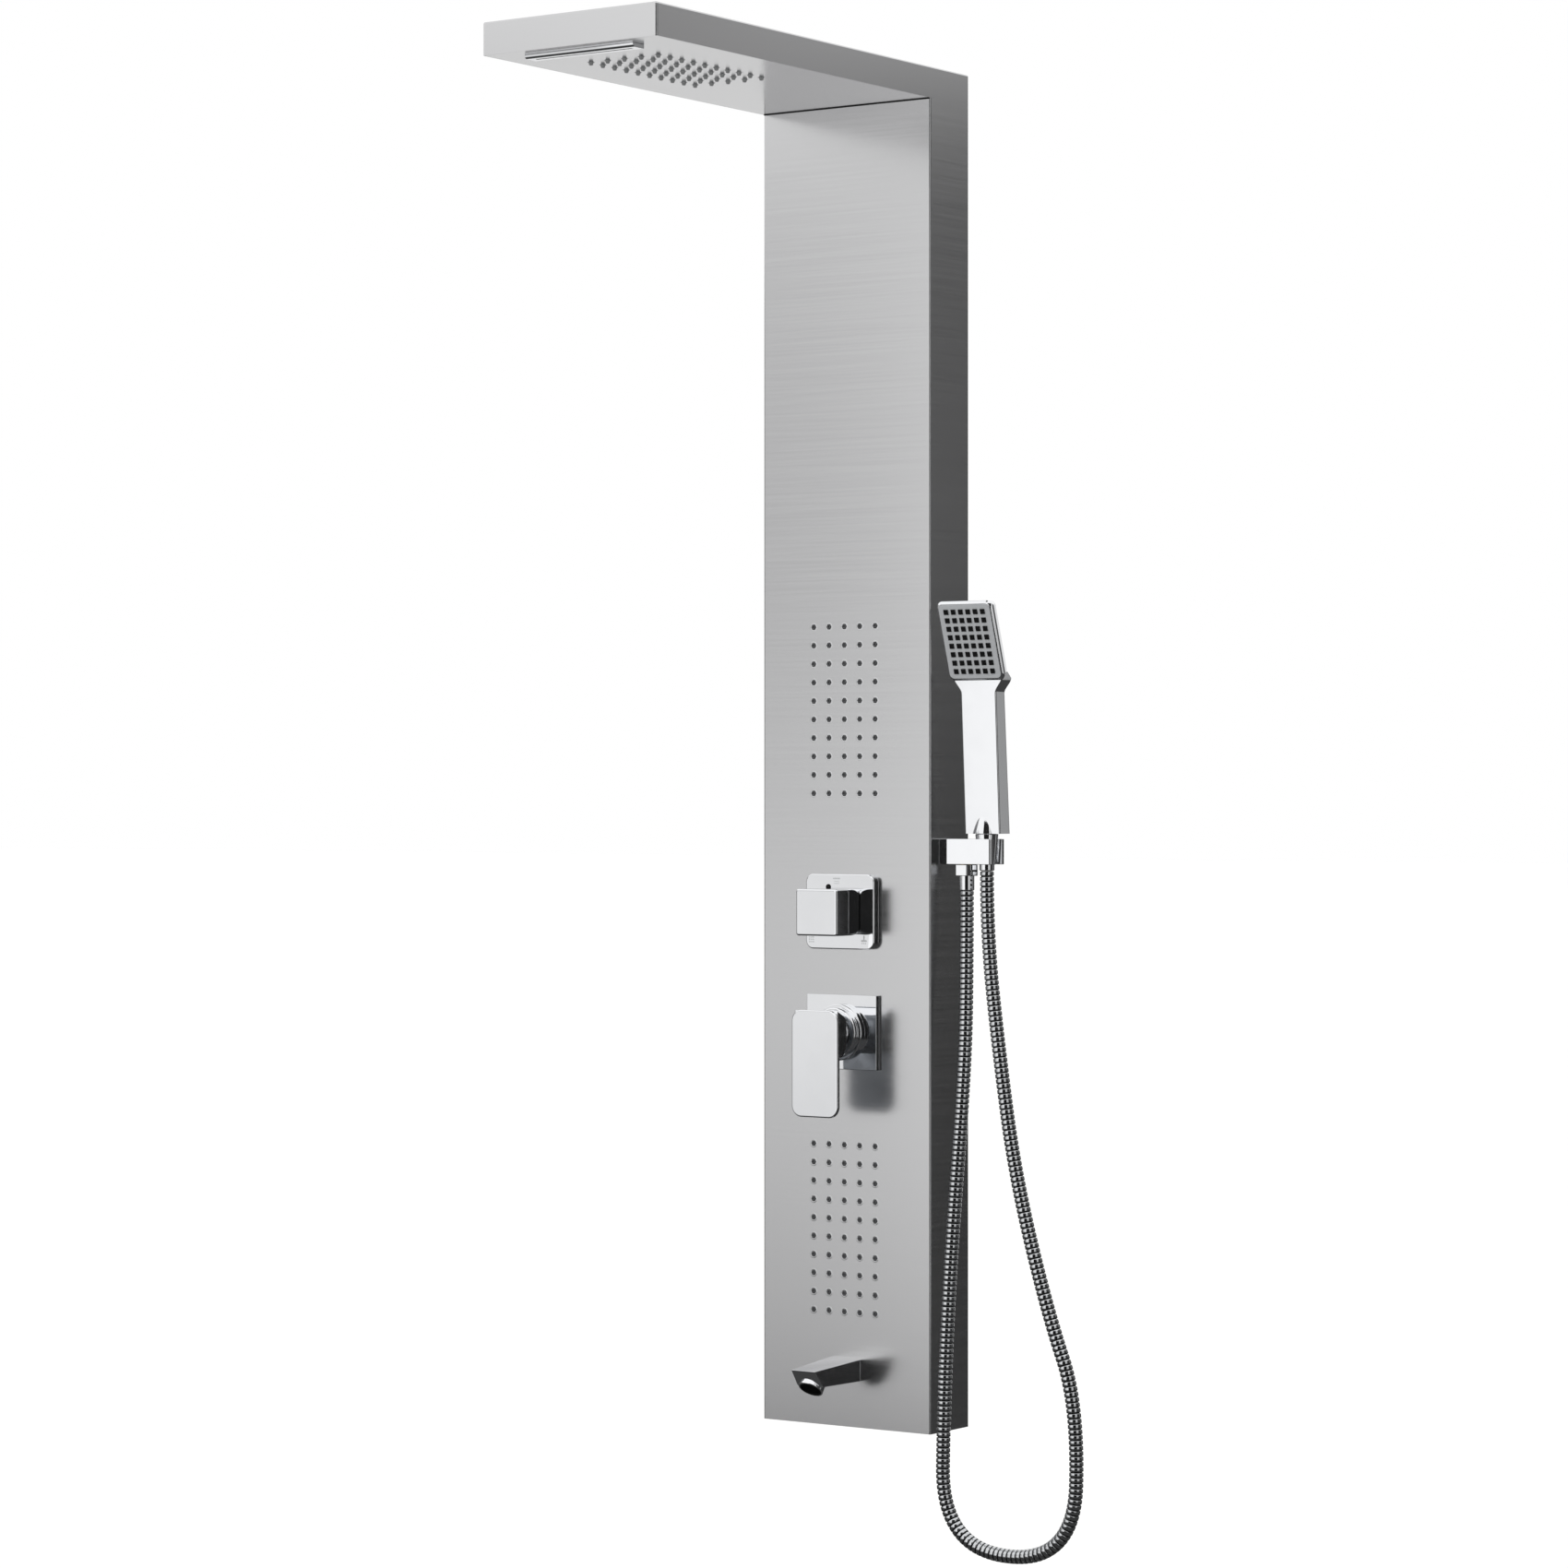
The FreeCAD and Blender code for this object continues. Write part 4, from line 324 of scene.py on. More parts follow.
def make_materials():
    """The panel's finishes, by the names of the record's slots and of the added pieces."""
    look = bpy.context.scene.shower_finish
    made = {}
    # Stainless steel sheet.  The brush lines run level on the column and along the arm.  Real ones are 0.1 mm
    # apart; these are drawn about 2 mm apart so that they show, as faint streaks in a soft grey sheen.
    made["steel_sheet"] = shade(
        "stainless_steel_brushed_level", look.steel, 1, 0.21, (6, 6, 500), 0.02, 0.02, 0.0005)
    made["steel_arm"] = shade(
        "stainless_steel_brushed_along_arm", look.steel, 1, 0.19, (500, 6, 500), 0.02, 0.02, 0.0005)
    # The same steel burnished by the punch round each nozzle hole: smoother and paler than the sheet.
    made["rim"] = shade("stainless_steel_burnished", linear("#D9DADB"), 1, 0.2, (300, 300, 300), 0.04)
    # Zinc plated steel: a dull blue-grey with a cloudy passivation.
    made["zinc_steel"] = shade("steel_zinc_plated", linear("#B4B8BD"), 1, 0.42, (90, 90, 90), 0.10, 0.15, 0.01)
    # Chrome plate on polished brass: mirror-like, with the faint waviness that buffing leaves.
    made["chrome"] = shade("brass_chrome_plated", look.chrome, 1, 0.045, (45, 45, 45), 0.02, 0.02, 0.002)
    # Chrome plate on moulded ABS: as bright, a little softer.
    made["chromed_plastic"] = shade("abs_chrome_plated", look.chrome, 1, 0.07, (60, 60, 60), 0.03, 0.02, 0.003)
    # Machined brass: warm, with turning marks 0.4 mm apart.
    made["brass"] = shade("brass_machined", linear("#CBAA62"), 1, 0.30, (900, 2400, 900), 0.08, 0.12, 0.006)
    # Ground steel pin: fine and even.
    made["pin_steel"] = shade("steel_ground", linear("#B9BABD"), 1, 0.25, (1500, 1500, 1500), 0.06)
    # Moulded silicone: soft grey with a matt skin.
    made["silicone"] = shade("silicone_moulded", look.silicone, 0, 0.48, (900, 900, 900), 0.08, 0.10, 0.01)
    made["pale_silicone"] = shade(
        "silicone_moulded_pale", look.pale_silicone, 0, 0.42, (900, 900, 900), 0.08, 0.10, 0.01)
    # Moulded EPDM rubber: black, matt, faintly dusty.
    made["black_rubber"] = shade(
        "epdm_rubber_moulded", look.rubber, 0, 0.62, (700, 700, 700), 0.10, 0.25, 0.01, ior=1.35)
    # Injection-moulded POM for the water chambers and cartridges: milky white.
    made["moulded_plastic"] = shade("pom_moulded", linear("#DDDCD6"), 0, 0.42, (240, 240, 240), 0.06, 0.04, 0.01)
    # Satin ABS spray plate: mid grey with a fine spark-eroded texture 0.5 mm across.
    made["grey_plastic"] = shade("abs_satin_grey", look.spray_plate, 0, 0.38, (2000, 2000, 2000), 0.06, 0.06, 0.012)
    # Extruded PEX pipe: cloudy white.
    made["feed_pipe"] = shade("pex_pipe_extruded", linear("#D6D4CC"), 0, 0.36, (60, 60, 12), 0.05, 0.05)
    # Pad-printed ink on the diverter's plate.
    made["print"] = shade("pad_print_ink", look.print_grey, 0, 0.45, (1200, 1200, 1200), 0.05, 0.08)
    made["hose_metal"] = hose_material(look)
    return made


def hose_material(look):
    """Rolled stainless strip: polished on the ribs' crowns and dull down in the grooves, where painted shade darkens
    its colour towards their bottom.
    """
    material = shade("stainless_strip_rolled", look.hose, 1, 0.13, (400, 400, 400), 0.04, 0.04)
    tree = material.node_tree
    shader = tree.nodes["Principled BSDF"]
    depth = add_node(tree, "ShaderNodeAttribute", attribute_name="groove").outputs["Fac"]
    crown = np.array(look.hose)
    # Painted shade: the crowns' colour falls to 0.4 of itself and then to 0.03 towards the grooves' bottom.
    shown = ramp(tree, depth, [(0.05, crown), (0.3, crown * 0.4), (1.0, crown * 0.03)])
    tree.links.new(shown, shader.inputs["Base Color"])
    tree.links.new(ramp(tree, depth, [(0.0, 0.10), (1.0, 0.5)]), shader.inputs["Roughness"])
    return material


MATERIALS = {}


def finish_named(name):
    """A material of the panel; all are made the first time one is asked for."""
    if not MATERIALS:
        MATERIALS.update(make_materials())
    return MATERIALS[name]


# ---- Hose and its ends -------------------------------------------------------------------------------------
# Vertices of the hose's route, in millimetres: out from the column's side, out from the wall, height above the foot.
ROUTE = [
    (24.0, 41.0, 532.9), (24.0, 41.0, 469.9),
    (28.5, 51.0, 360.0), (18.5, 60.5, 190.0), (15.5, 69.0, 50.0), (16.0, 74.0, -109.0), (167.0, 74.0, -110.0),
    (169.0, 70.0, 42.0), (132.0, 65.5, 128.0), (91.0, 58.0, 255.0), (67.0, 50.0, 375.0),
    (47.3, 41.0, 489.2), (47.3, 41.0, 552.2),
]


def route_line():
    """Points of a smooth NURBS line of order 3 through space, with the route's vertices as its control points."""
    side, wall, height = np.array(ROUTE).T * MM
    controls = np.stack([SIDE + side, -wall, FOOT + height, np.ones_like(side)], -1)
    curve = bpy.data.curves.new("hose_route", "CURVE")
    curve.dimensions = "3D"
    spline = curve.splines.new("NURBS")
    spline.points.add(len(controls) - 1)
    spline.points.foreach_set("co", controls.ravel())
    spline.order_u = 3
    spline.use_endpoint_u = True
    spline.resolution_u = 48
    holder = bpy.data.objects.new("hose_route", curve)
    mesh = bpy.data.meshes.new_from_object(holder)
    points = np.empty(len(mesh.vertices) * 3)
    mesh.vertices.foreach_get("co", points)
    bpy.data.objects.remove(holder)
    bpy.data.curves.remove(curve)
    bpy.data.meshes.remove(mesh)
    return points.reshape(-1, 3)


def hose_tube(settings):
    """Ribbed tube: circles square to the line, eight to a pitch, whose radius follows one rib's profile.

    The profile is a narrow groove at the pitch's start and a broad crown that is domed by a thirtieth of its depth.
    """
    line = route_line()
    passed = np.concatenate([[0], np.cumsum(np.linalg.norm(np.diff(line, axis=0), axis=1))])
    ribs = round(passed[-1] / settings.pitch)
    part_way = np.array([0.0, 0.09, 0.15, 0.21, 0.5, 0.79, 0.85, 0.91])
    depth = np.array([1.0, 0.8, 0.12, 0.03, 0.0, 0.03, 0.12, 0.8])
    along = np.append((np.arange(ribs)[:, None] + part_way).ravel(), ribs) * passed[-1] / ribs
    centre = np.stack([np.interp(along, passed, line[:, i]) for i in range(3)], -1)
    way = np.gradient(centre, along, axis=0)
    way /= np.linalg.norm(way, axis=1, keepdims=True)
    across = Y - (way @ Y)[:, None] * way
    across /= np.linalg.norm(across, axis=1, keepdims=True)
    beside = np.cross(way, across)
    fall = np.append(np.tile(depth, ribs), 1.0)
    radius = settings.diameter / 2 - settings.groove * fall
    turn = np.linspace(0, 2 * math.pi, 16, endpoint=False)[None, :, None]
    grid = centre[:, None] + radius[:, None, None] * (
        np.cos(turn) * across[:, None] + np.sin(turn) * beside[:, None])
    return line, surface(grid), np.append(np.repeat(fall, 16), [1.0, 1.0])


class SHOWER_OT_hose(bpy.types.Operator):
    """Make the ribbed hose with its ferrules, its hexagon nut and its conical nut"""
    bl_idname = "shower_panel.hose"
    bl_label = "Hose and Its Ends"

    def execute(self, context):
        settings = context.scene.shower_hose
        chrome = finish_named("chrome")
        line, tube, depth = hose_tube(settings)
        hose = piece("ribbed_hose", [tube], finish_named("hose_metal"), None, ["shower_hose"], 80)
        hose.data.attributes.new("groove", "FLOAT", "POINT").data.foreach_set("value", depth)
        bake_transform(hose)
        lower = eased([(532.9, 4), (532.9, 7.5), (550.4, 7.5), (550.4, 9), (552.6, 9), (552.6, 4)],
                      [0.2, 1.0, 0, 0.3, 0.3, 0])
        upper = eased([(552.5, 4), (552.5, 7.5), (576.35, 7.5), (576.35, 9.1), (577.95, 9.1), (577.95, 4)],
                      [0.2, 1.0, 0, 0.3, 0.3, 0])
        cone = eased([(558.5, 7.55), (558.5, 9.0), (588.5, 11.4), (588.5, 9.5), (576.3, 9.5), (576.3, 7.55)],
                     [0, 0.7, 0.9, 0.2, 0, 0])
        outlet, seat = SIDE + 0.024, SIDE + 0.0473
        low = piece("lower_ferrule", [hung(lower, outlet)], chrome, "column", ["hose_lower_ferrule"])
        high = piece("upper_ferrule", [hung(upper, seat)], chrome, "hose_end", ["hose_upper_ferrule"])
        nut = piece("conical_hose_nut", [hung(cone, seat, 72)], chrome, "handset", ["conical_nut"])
        hexagon = softened("hexagon_hose_nut", "hose_hex_nut", chrome, edge=0.6)
        return {"FINISHED"}


# ---- Nozzles -----------------------------------------------------------------------------------------------
def field(across, along):
    """Centres of a field of five by ten nozzles, from its own middle."""
    a, b = np.meshgrid((np.arange(5) - 2) * across, (np.arange(10) - 4.5) * along)
    return np.stack([a.ravel(), b.ravel()], -1)


def nozzle_field(centres, origin, up, way, profile, slab, sides=12):
    """Mat with tapered tips: one slab under round tips turned from a profile of (height, radius) in mm."""
    tip = surface(turned(np.array(profile) * MM, origin, way, X, sides))
    places = centres[:, :1] * X + centres[:, 1:] * up
    half = np.abs(centres).max(0) / MM + 17
    rings = rounded([half[0] - 0.2, half[0], half[0], half[0] - 0.2],
                    [half[1] - 0.2, half[1], half[1], half[1] - 0.2], 4.0)
    sheet = placed(rings * MM, np.array([-slab, 0.2 - slab, -0.2, 0]) * MM, origin, X, up, way)
    return [surface(sheet), repeated(tip, places)]


def rim_field(centres, origin, up, way, inner, width, sides=20):
    """Low ring pressed up round each hole: a shallow arch between its inner and outer radius."""
    outer = inner + width
    profile = np.array([
        (-0.10, inner), (0.05, inner), (0.13, inner + 0.3 * width), (0.10, inner + 0.7 * width),
        (0.02, outer), (-0.10, outer)]) * MM
    ring = surface(turned(profile, origin, way, X, sides), ring=True)
    return [repeated(ring, centres[:, :1] * X + centres[:, 1:] * up)]


class SHOWER_OT_nozzles(bpy.types.Operator):
    """Make the body jets and the rain nozzles with the rims round their holes"""
    bl_idname = "shower_panel.nozzles"
    bl_label = "Jets and Rain Nozzles"

    def execute(self, context):
        settings = context.scene.shower_nozzles
        silicone, rim = finish_named("silicone"), finish_named("rim")
        wide = settings.rim / MM
        jets = field(settings.jet_pitch, settings.jet_pitch)
        tip = [(-0.8, 2.7), (0.9, 2.5), (1.7, 2.35), (1.95, 2.1), (2.0, 1.5), (1.7, 0.9), (1.0, 0.75)]
        for name, node, height in (("upper", "upper_jet_mat", 0.711), ("lower", "lower_jet_mat", 0.1965)):
            inner = np.array([MIDDLE, FACE + 0.0012, FOOT + height])
            outer = np.array([MIDDLE, FACE, FOOT + height])
            parts = nozzle_field(jets, inner, Z, -Y, tip, 1.5)
            piece(name + "_jet_nozzles", parts, silicone, "column", [node])
            piece(name + "_jet_rims", rim_field(jets, outer, Z, -Y, 3.0, wide), rim)
        rain = field(settings.rain_across, settings.rain_along)
        middle = np.array([MIDDLE, -0.350, 0.130])
        tip = [(-0.8, 2.8), (1.2, 2.7), (2.4, 2.1), (3.6, 1.8), (4.0, 1.6), (4.1, 1.2), (3.8, 0.8), (2.6, 0.6)]
        parts = nozzle_field(rain, middle + 0.0012 * Z, Y, -Z, tip, 1.5)
        piece("rain_nozzles", parts, finish_named("pale_silicone"), "column", ["rain_nozzle_mat"])
        piece("rain_rims", rim_field(rain, middle, Y, -Z, 3.4, wide), rim)
        softened("waterfall_mouth", "waterfall_lip", finish_named("chrome"), edge=0.35)
        # The seam of the arm's underside and the column's front is real; this thin black strip along it is painted
        # shade, standing for the dark gap between the two sheets.
        joint = rounded([99.0, 99.0], 0.45, 0.2, 2) * MM
        strip = surface(placed(joint, np.array([-0.3, 0.9]) * MM, np.array([0, FACE, 0.1296]), X, Z, -Y))
        piece("joint_line", [strip], finish_named("black_rubber"))
        return {"FINISHED"}


# ---- Diverter ----------------------------------------------------------------------------------------------
def quarter(radius, steps=5):
    """Inset and rise of a rounded edge: a quarter circle, from the side to the face."""
    t = np.radians(np.linspace(0, 90, steps))
    return radius * (1 - np.cos(t)), radius * np.sin(t)


def knob_surface():
    """Square knob: rounded squares drawn in towards the plate on a power curve, with a rounded front edge.

    Behind it a round hollow clears the clamping nut.
    """
    t = np.linspace(0, 1, 9)
    inset, rise = quarter(1.7)
    out = np.concatenate([9 + 13 * t, 49 - 1.7 + rise, [49.0]])
    fall = (1 - t) ** 2.4
    beside = np.concatenate([0.7 * fall, inset, [2.4]])
    above = np.concatenate([2.6 * fall, inset, [2.4]])
    corner = np.concatenate([3.0 - 0.6 * t, np.full(5, 2.4) - 0.6 * inset / 1.7, [1.6]])
    hollow = np.array([18.7, 18.7])
    rings = rounded(
        np.concatenate([hollow, 24.5 - beside]), np.concatenate([hollow, 23.0 - above]),
        np.concatenate([hollow * 0.98, corner]))
    return surface(on_face(rings, np.concatenate([[14.0, 9.0], out]), DIVERTER_Z))


def flat_dots(places, radius, sides=14):
    """Printed dots on the plate: discs a tenth of a millimetre high with an eased rim."""
    base = np.array([MIDDLE, FACE - 0.008, DIVERTER_Z])
    dot = surface(turned(np.array([(-0.05, radius), (0.05, radius), (0.1, radius - 0.08)]) * MM, base, -Y, X, sides))
    places = np.array(places, float) * MM
    return repeated(dot, places[:, :1] * X + places[:, 1:] * Z)


def flat_strip(centre, half_width, half_height, corner):
    """Printed strip on the plate: a rounded rectangle a tenth of a millimetre high."""
    rings = rounded([half_width] * 2, half_height, corner, 4) + np.array(centre)
    return surface(on_face(rings, [7.95, 8.1], DIVERTER_Z))


def plate_marks():
    """Three plain pictograms: rain under a bar, a field of jets, and a hand shower over its drops."""
    drops = [(-3.7 + 2.2 * i, 30.0 - 2.0 * j) for i in (-1, 0, 1) for j in (0, 1)]
    jets = [(-34.0 + 2.3 * i, -28.0 + 2.3 * j) for i in (-1, 0, 1) for j in (-1, 0, 1)]
    spray = [(29.0 + 2.0 * i, -31.0) for i in (-1, 0, 1)]
    return [
        flat_dots(drops, 0.6), flat_dots(jets, 0.75), flat_dots(spray, 0.6),
        flat_strip((-3.7, 32.8), 4.2, 0.7, 0.6), flat_strip((29.0, -28.6), 3.4, 0.8, 0.7),
        flat_strip((29.0, -25.6), 0.7, 2.4, 0.6),
    ]


class SHOWER_OT_diverter(bpy.types.Operator):
    """Make the diverter's knob, its plate and the pictograms on it"""
    bl_idname = "shower_panel.diverter"
    bl_label = "Diverter"

    def execute(self, context):
        chrome = finish_named("chrome")
        piece("square_knob", [knob_surface()], chrome, "diverter", ["diverter_knob"], smooth=40)
        softened("diverter_cover", "diverter_plate", chrome, edge=0.5)
        piece("plate_pictograms", plate_marks(), finish_named("print"))
        base = np.array([MIDDLE - 0.0135, FACE - 0.008, DIVERTER_Z + 0.0243])
        pin = turned(np.array([(-0.1, 2.9), (0.4, 2.9), (0.75, 2.3), (0.85, 1.2)]) * MM, base, -Y, X, 24)
        piece("index_pin", [surface(pin)], finish_named("black_rubber"))
        return {"FINISHED"}


# ---- Mixer -------------------------------------------------------------------------------------------------
def slab(half_width, half_height, corner, back, front, front_edge, back_edge, centre, z):
    """Flat rounded plate: rounded rectangles drawn in on quarter circles at its back and front edges."""
    inset_back, rise_back = quarter(back_edge)
    inset, rise = quarter(front_edge)
    draw = np.concatenate([[back_edge + 0.5], inset_back[::-1], inset, [front_edge + 0.5]])
    out = np.concatenate([[back], back + back_edge - rise_back[::-1], front - front_edge + rise, [front]])
    rings = rounded(half_width - draw, half_height - draw, np.maximum(corner - draw, 0.3), 10)
    return surface(on_face(rings + np.array(centre), out, z))


def lever_block():
    """Block behind the lever: an eased side profile with a chin, carried across and drawn in at both cheeks."""
    side = eased([(33.2, 15.6), (49.0, 23.0), (49.0, -23.0), (40.6, -23.0), (33.2, -15.6)], [2.5, 0, 0, 2.5, 2.5])
    half, edge = 25.6, 0.9
    inset, rise = quarter(edge)
    across = np.concatenate([[-half], -half + edge - rise[::-1], half - edge + rise, [half]])
    draw = np.concatenate([[1.4], inset[::-1], inset, [1.4]])
    middle = np.array([42.5, 0.0])
    scale = 1 - draw[:, None, None] / np.array([9.0, 23.0])
    flat = middle + (side - middle) * scale
    origin = np.array([MIDDLE, FACE, MIXER_Z])
    return surface(placed(flat * MM, across * MM, origin, -Y, Z, X))


class SHOWER_OT_mixer(bpy.types.Operator):
    """Make the mixer's plate, clamping ring, dome and lever"""
    bl_idname = "shower_panel.mixer"
    bl_label = "Mixer"

    def execute(self, context):
        chrome = finish_named("chrome")
        softened("mixer_cover", "mixer_plate", chrome, edge=0.5)
        ring = eased(
            [(5, 20.1), (5, 28), (12, 28), (12, 25), (19, 25), (19, 18.95), (9.4, 18.95), (9.4, 20.1)],
            [0, 0.2, 1.6, 0.5, 2.4, 0.8, 0, 0], 6)
        base = np.array([MIDDLE, FACE, MIXER_Z])
        ring = surface(turned(ring * MM, base, -Y, X, 96), ring=True)
        piece("clamping_ring", [ring], chrome, "column", ["mixer_clamp_ring"])
        softened("dome", "mixer_dome", chrome, "mixer_turret", edge=0)
        plate = slab(27.5, 52.75, 11.0, 48.0, 52.0, 1.3, 0.8, (0, -29.25), MIXER_Z)
        lever = piece("lever", [plate, lever_block()], chrome, "mixer_lever", ["mixer_lever"])
        # The faces turned towards the wall get the darker, duller zinc steel: painted shade on the lever's back.
        lever.data.materials.append(finish_named("zinc_steel"))
        for face in lever.data.polygons:
            face.material_index = int(face.normal.y > 0.7)
        return {"FINISHED"}


# ---- Spout and holder --------------------------------------------------------------------------------------
def spout_surface():
    """Spout: a side profile carried across, whose cheeks come 5 mm nearer from root to nose, with eased edges.

    The front slants back under the roof, and the aerator's round socket comes out of it.
    """
    side = eased([(0, 46), (0, 67.5), (72, 62.5), (60, 46)], [0.3, 0.3, 0.8, 1.2])
    middle = np.array([34.0, 56.0])
    edge = 0.7
    inset, rise = quarter(edge)
    back = np.concatenate([[0.0], edge - rise[::-1], edge - rise, [0.0]])
    draw = np.concatenate([[1.3], inset[::-1], inset, [1.3]])
    hand = np.repeat([-1.0, 1.0], len(rise) + 1)[:, None]
    flat = middle + (side - middle) * (1 - draw[:, None, None] / np.array([36.0, 10.7]))
    across = hand * (19.0 - 5.0 * flat[..., 0] / 72 - back[:, None])
    return surface(np.stack([MIDDLE + across * MM, FACE - flat[..., 0] * MM, FOOT + flat[..., 1] * MM], -1))


class SHOWER_OT_spout(bpy.types.Operator):
    """Make the bath spout and its aerator"""
    bl_idname = "shower_panel.spout"
    bl_label = "Spout"

    def execute(self, context):
        tilt = math.radians(37.0)
        centre = np.array([MIDDLE, FACE - 0.0592, FOOT + 0.0425])
        way = np.array([0, -math.sin(tilt), -math.cos(tilt)])
        socket = eased(
            [(-13, 0.8), (-13, 12.6), (-0.4, 12.6), (-0.4, 11.0), (-10, 11.0), (-10, 0.8)], [0, 0, 0.7, 0.3, 0, 0])
        socket = surface(turned(socket * MM, centre, way, X, 72), ring=True)
        piece("bath_spout", [spout_surface(), socket], finish_named("chrome"), "column", ["spout_body"])
        cup = eased(
            [(-12, 0.8), (-12, 10.8), (0, 10.8), (0, 9.4), (-1.6, 9.2), (-1.6, 0.8)], [0, 0.3, 0.5, 0.3, 0.2, 0])
        parts = [surface(turned(cup * MM, centre, way, X, 64), ring=True)]
        steps = np.arange(-6, 6.1, 2.0)
        grid = np.array([(a, b) for a in steps for b in steps if a * a + b * b < 60])
        pip = surface(turned(np.array([(-1.7, 0.7), (-1.2, 0.7), (-1.0, 0.45)]) * MM, centre, way, X, 8))
        up = np.cross(way, X)
        parts.append(repeated(pip, (grid[:, :1] * X + grid[:, 1:] * up) * MM))
        piece("aerator", parts, finish_named("black_rubber"), "column", ["spout_aerator"])
        return {"FINISHED"}


class SHOWER_OT_holder(bpy.types.Operator):
    """Make the forked holder on the column's side"""
    bl_idname = "shower_panel.holder"
    bl_label = "Holder"

    def execute(self, context):
        softened("forked_holder", "holder_block", finish_named("chrome"), edge=0.5)
        return {"FINISHED"}


# ---- Hand shower -------------------------------------------------------------------------------------------
HANDLE_FOOT = np.array([SIDE + 0.0473, FITTING_Y, FOOT + 0.5888])
HEAD_TILT = math.radians(18.0)
HEAD_UP = np.array([0, -math.sin(HEAD_TILT), math.cos(HEAD_TILT)])
HEAD_OUT = np.array([0, -math.cos(HEAD_TILT), -math.sin(HEAD_TILT)])
HEAD_CENTRE = HANDLE_FOOT + np.array([0, -0.0195, 0.1505]) + HEAD_UP * 0.03875


def handle_surface():
    """Flat handle: rounded rectangles that lean forward and, below the head, widen on a smooth step 3tt - 2ttt."""
    reach = 137
    straight = np.linspace(0, reach, 8)
    t = np.linspace(0, 1, 13)[1:]
    height = np.concatenate([straight, reach + 15 * t, [158.0]])
    spread = np.concatenate([np.zeros(8), 16.4 * t * t * (3 - 2 * t), [13.0]])
    lean = np.concatenate([8.5 * straight / reach, 8.5 + t, [11.0]])
    thick = np.concatenate([17 - 1.8 * straight / reach, np.full(12, 15.2), [11.0]])
    rings = rounded((41.5 + spread) / 2, thick / 2, np.minimum(1.4, thick / 3), 6)
    rings[..., 0] *= 1 + 0.0043 * rings[..., 1]
    rings = rings - lean[:, None, None] * np.array([0, 1.0])
    return surface(placed(rings * MM, height * MM, HANDLE_FOOT, X, Y, Z))


def head_surface():
    """Square head: rounded squares along its normal, with a bevel in front and sides drawn in towards the back."""
    depth = np.array([0.3, 0, 0, 0.2, 1.9, 2.4, 2.8, 6.1, 9.4, 12.7, 14.6, 15.7, 16.0, 16.0])
    inset = np.array([3.9, 3.1, 2.2, 1.8, 0.4, 0.1, 0.1, 1.25, 2.4, 3.55, 4.7, 6.2, 8.0, 9.0])
    rings = rounded(32.2 - inset, 40.4 - inset, 6.5 - 0.5 * inset, 10)
    return surface(placed(rings * MM, -depth * MM, HEAD_CENTRE, X, HEAD_UP, HEAD_OUT))


class SHOWER_OT_hand_shower(bpy.types.Operator):
    """Make the hand shower's chromed shell"""
    bl_idname = "shower_panel.hand_shower"
    bl_label = "Hand Shower"

    def execute(self, context):
        neck = eased([(0, 0.5), (0, 14.2), (21, 8.2), (21, 0.5)], [0, 0.5, 0.5, 0])
        thread = [(-9.3, 4), (-9.3, 9.2), (1, 9.2), (1, 4)]
        parts = [
            handle_surface(), head_surface(),
            surface(turned(neck * MM, HANDLE_FOOT, Z, X, 64), ring=True),
            surface(turned(np.array(thread) * MM, HANDLE_FOOT, Z, X, 48), ring=True),
        ]
        piece("hand_shower_shell", parts, finish_named("chromed_plastic"), "handset", ["handset_body"],
              40)
        inset = np.array([0.0, 0.0, 0.25, 0.6])
        rings = rounded(29.3 - inset, 37.4 - inset, 4.8 - inset, 8)
        plate = placed(rings * MM, np.array([-1.5, 0.3, 0.5, 0.5]) * MM, HEAD_CENTRE, X, HEAD_UP, HEAD_OUT)
        piece("spray_plate", [surface(plate)], finish_named("grey_plastic"), "handset", ["handset_face"],
              40)
        return {"FINISHED"}


# ---- Finishes of the CAD pieces ----------------------------------------------------------------------------
class SHOWER_OT_finishes(bpy.types.Operator):
    """Give every piece kept from the CAD model its material"""
    bl_idname = "shower_panel.finishes"
    bl_label = "Finishes of the CAD Pieces"

    def execute(self, context):
        slots = {part["node"]: part["material_slot"] for part in frame["record"]["subparts"]}
        arm = {"overhead_shell", "overhead_underside"}
        for node, obj in frame["nodes"].items():
            material = finish_named("steel_arm" if node in arm else slots[node])
            for slot in obj.material_slots:
                slot.material = material
        return {"FINISHED"}


# ---- Studio ------------------------------------------------------------------------------------------------
def seen_rays(tree):
    """1 for rays from the camera and for reflected or refracted ones, 0 for those that light dull surfaces."""
    rays = add_node(tree, "ShaderNodeLightPath").outputs
    first = add_node(
        tree, "ShaderNodeMath", {0: rays["Is Camera Ray"], 1: rays["Is Glossy Ray"]}, operation="MAXIMUM")
    both = add_node(
        tree, "ShaderNodeMath", {0: first.outputs[0], 1: rays["Is Transmission Ray"]}, operation="MAXIMUM")
    return both.outputs[0]


def stage_sheet(name, low, high, material):
    """Sheet of the studio between two rows of points: a quad joins each pair of neighbours to the pair above."""
    count = len(low)
    step = np.arange(count - 1)
    faces = np.stack([step, step + 1, step + 1 + count, step + count], -1)
    mesh = bpy.data.meshes.new(name)
    mesh.from_pydata(np.vstack([low, high]).tolist(), [], faces.tolist())
    mesh.materials.append(material)
    obj = bpy.data.objects.new(name, mesh)
    bpy.context.collection.objects.link(obj)
    return obj


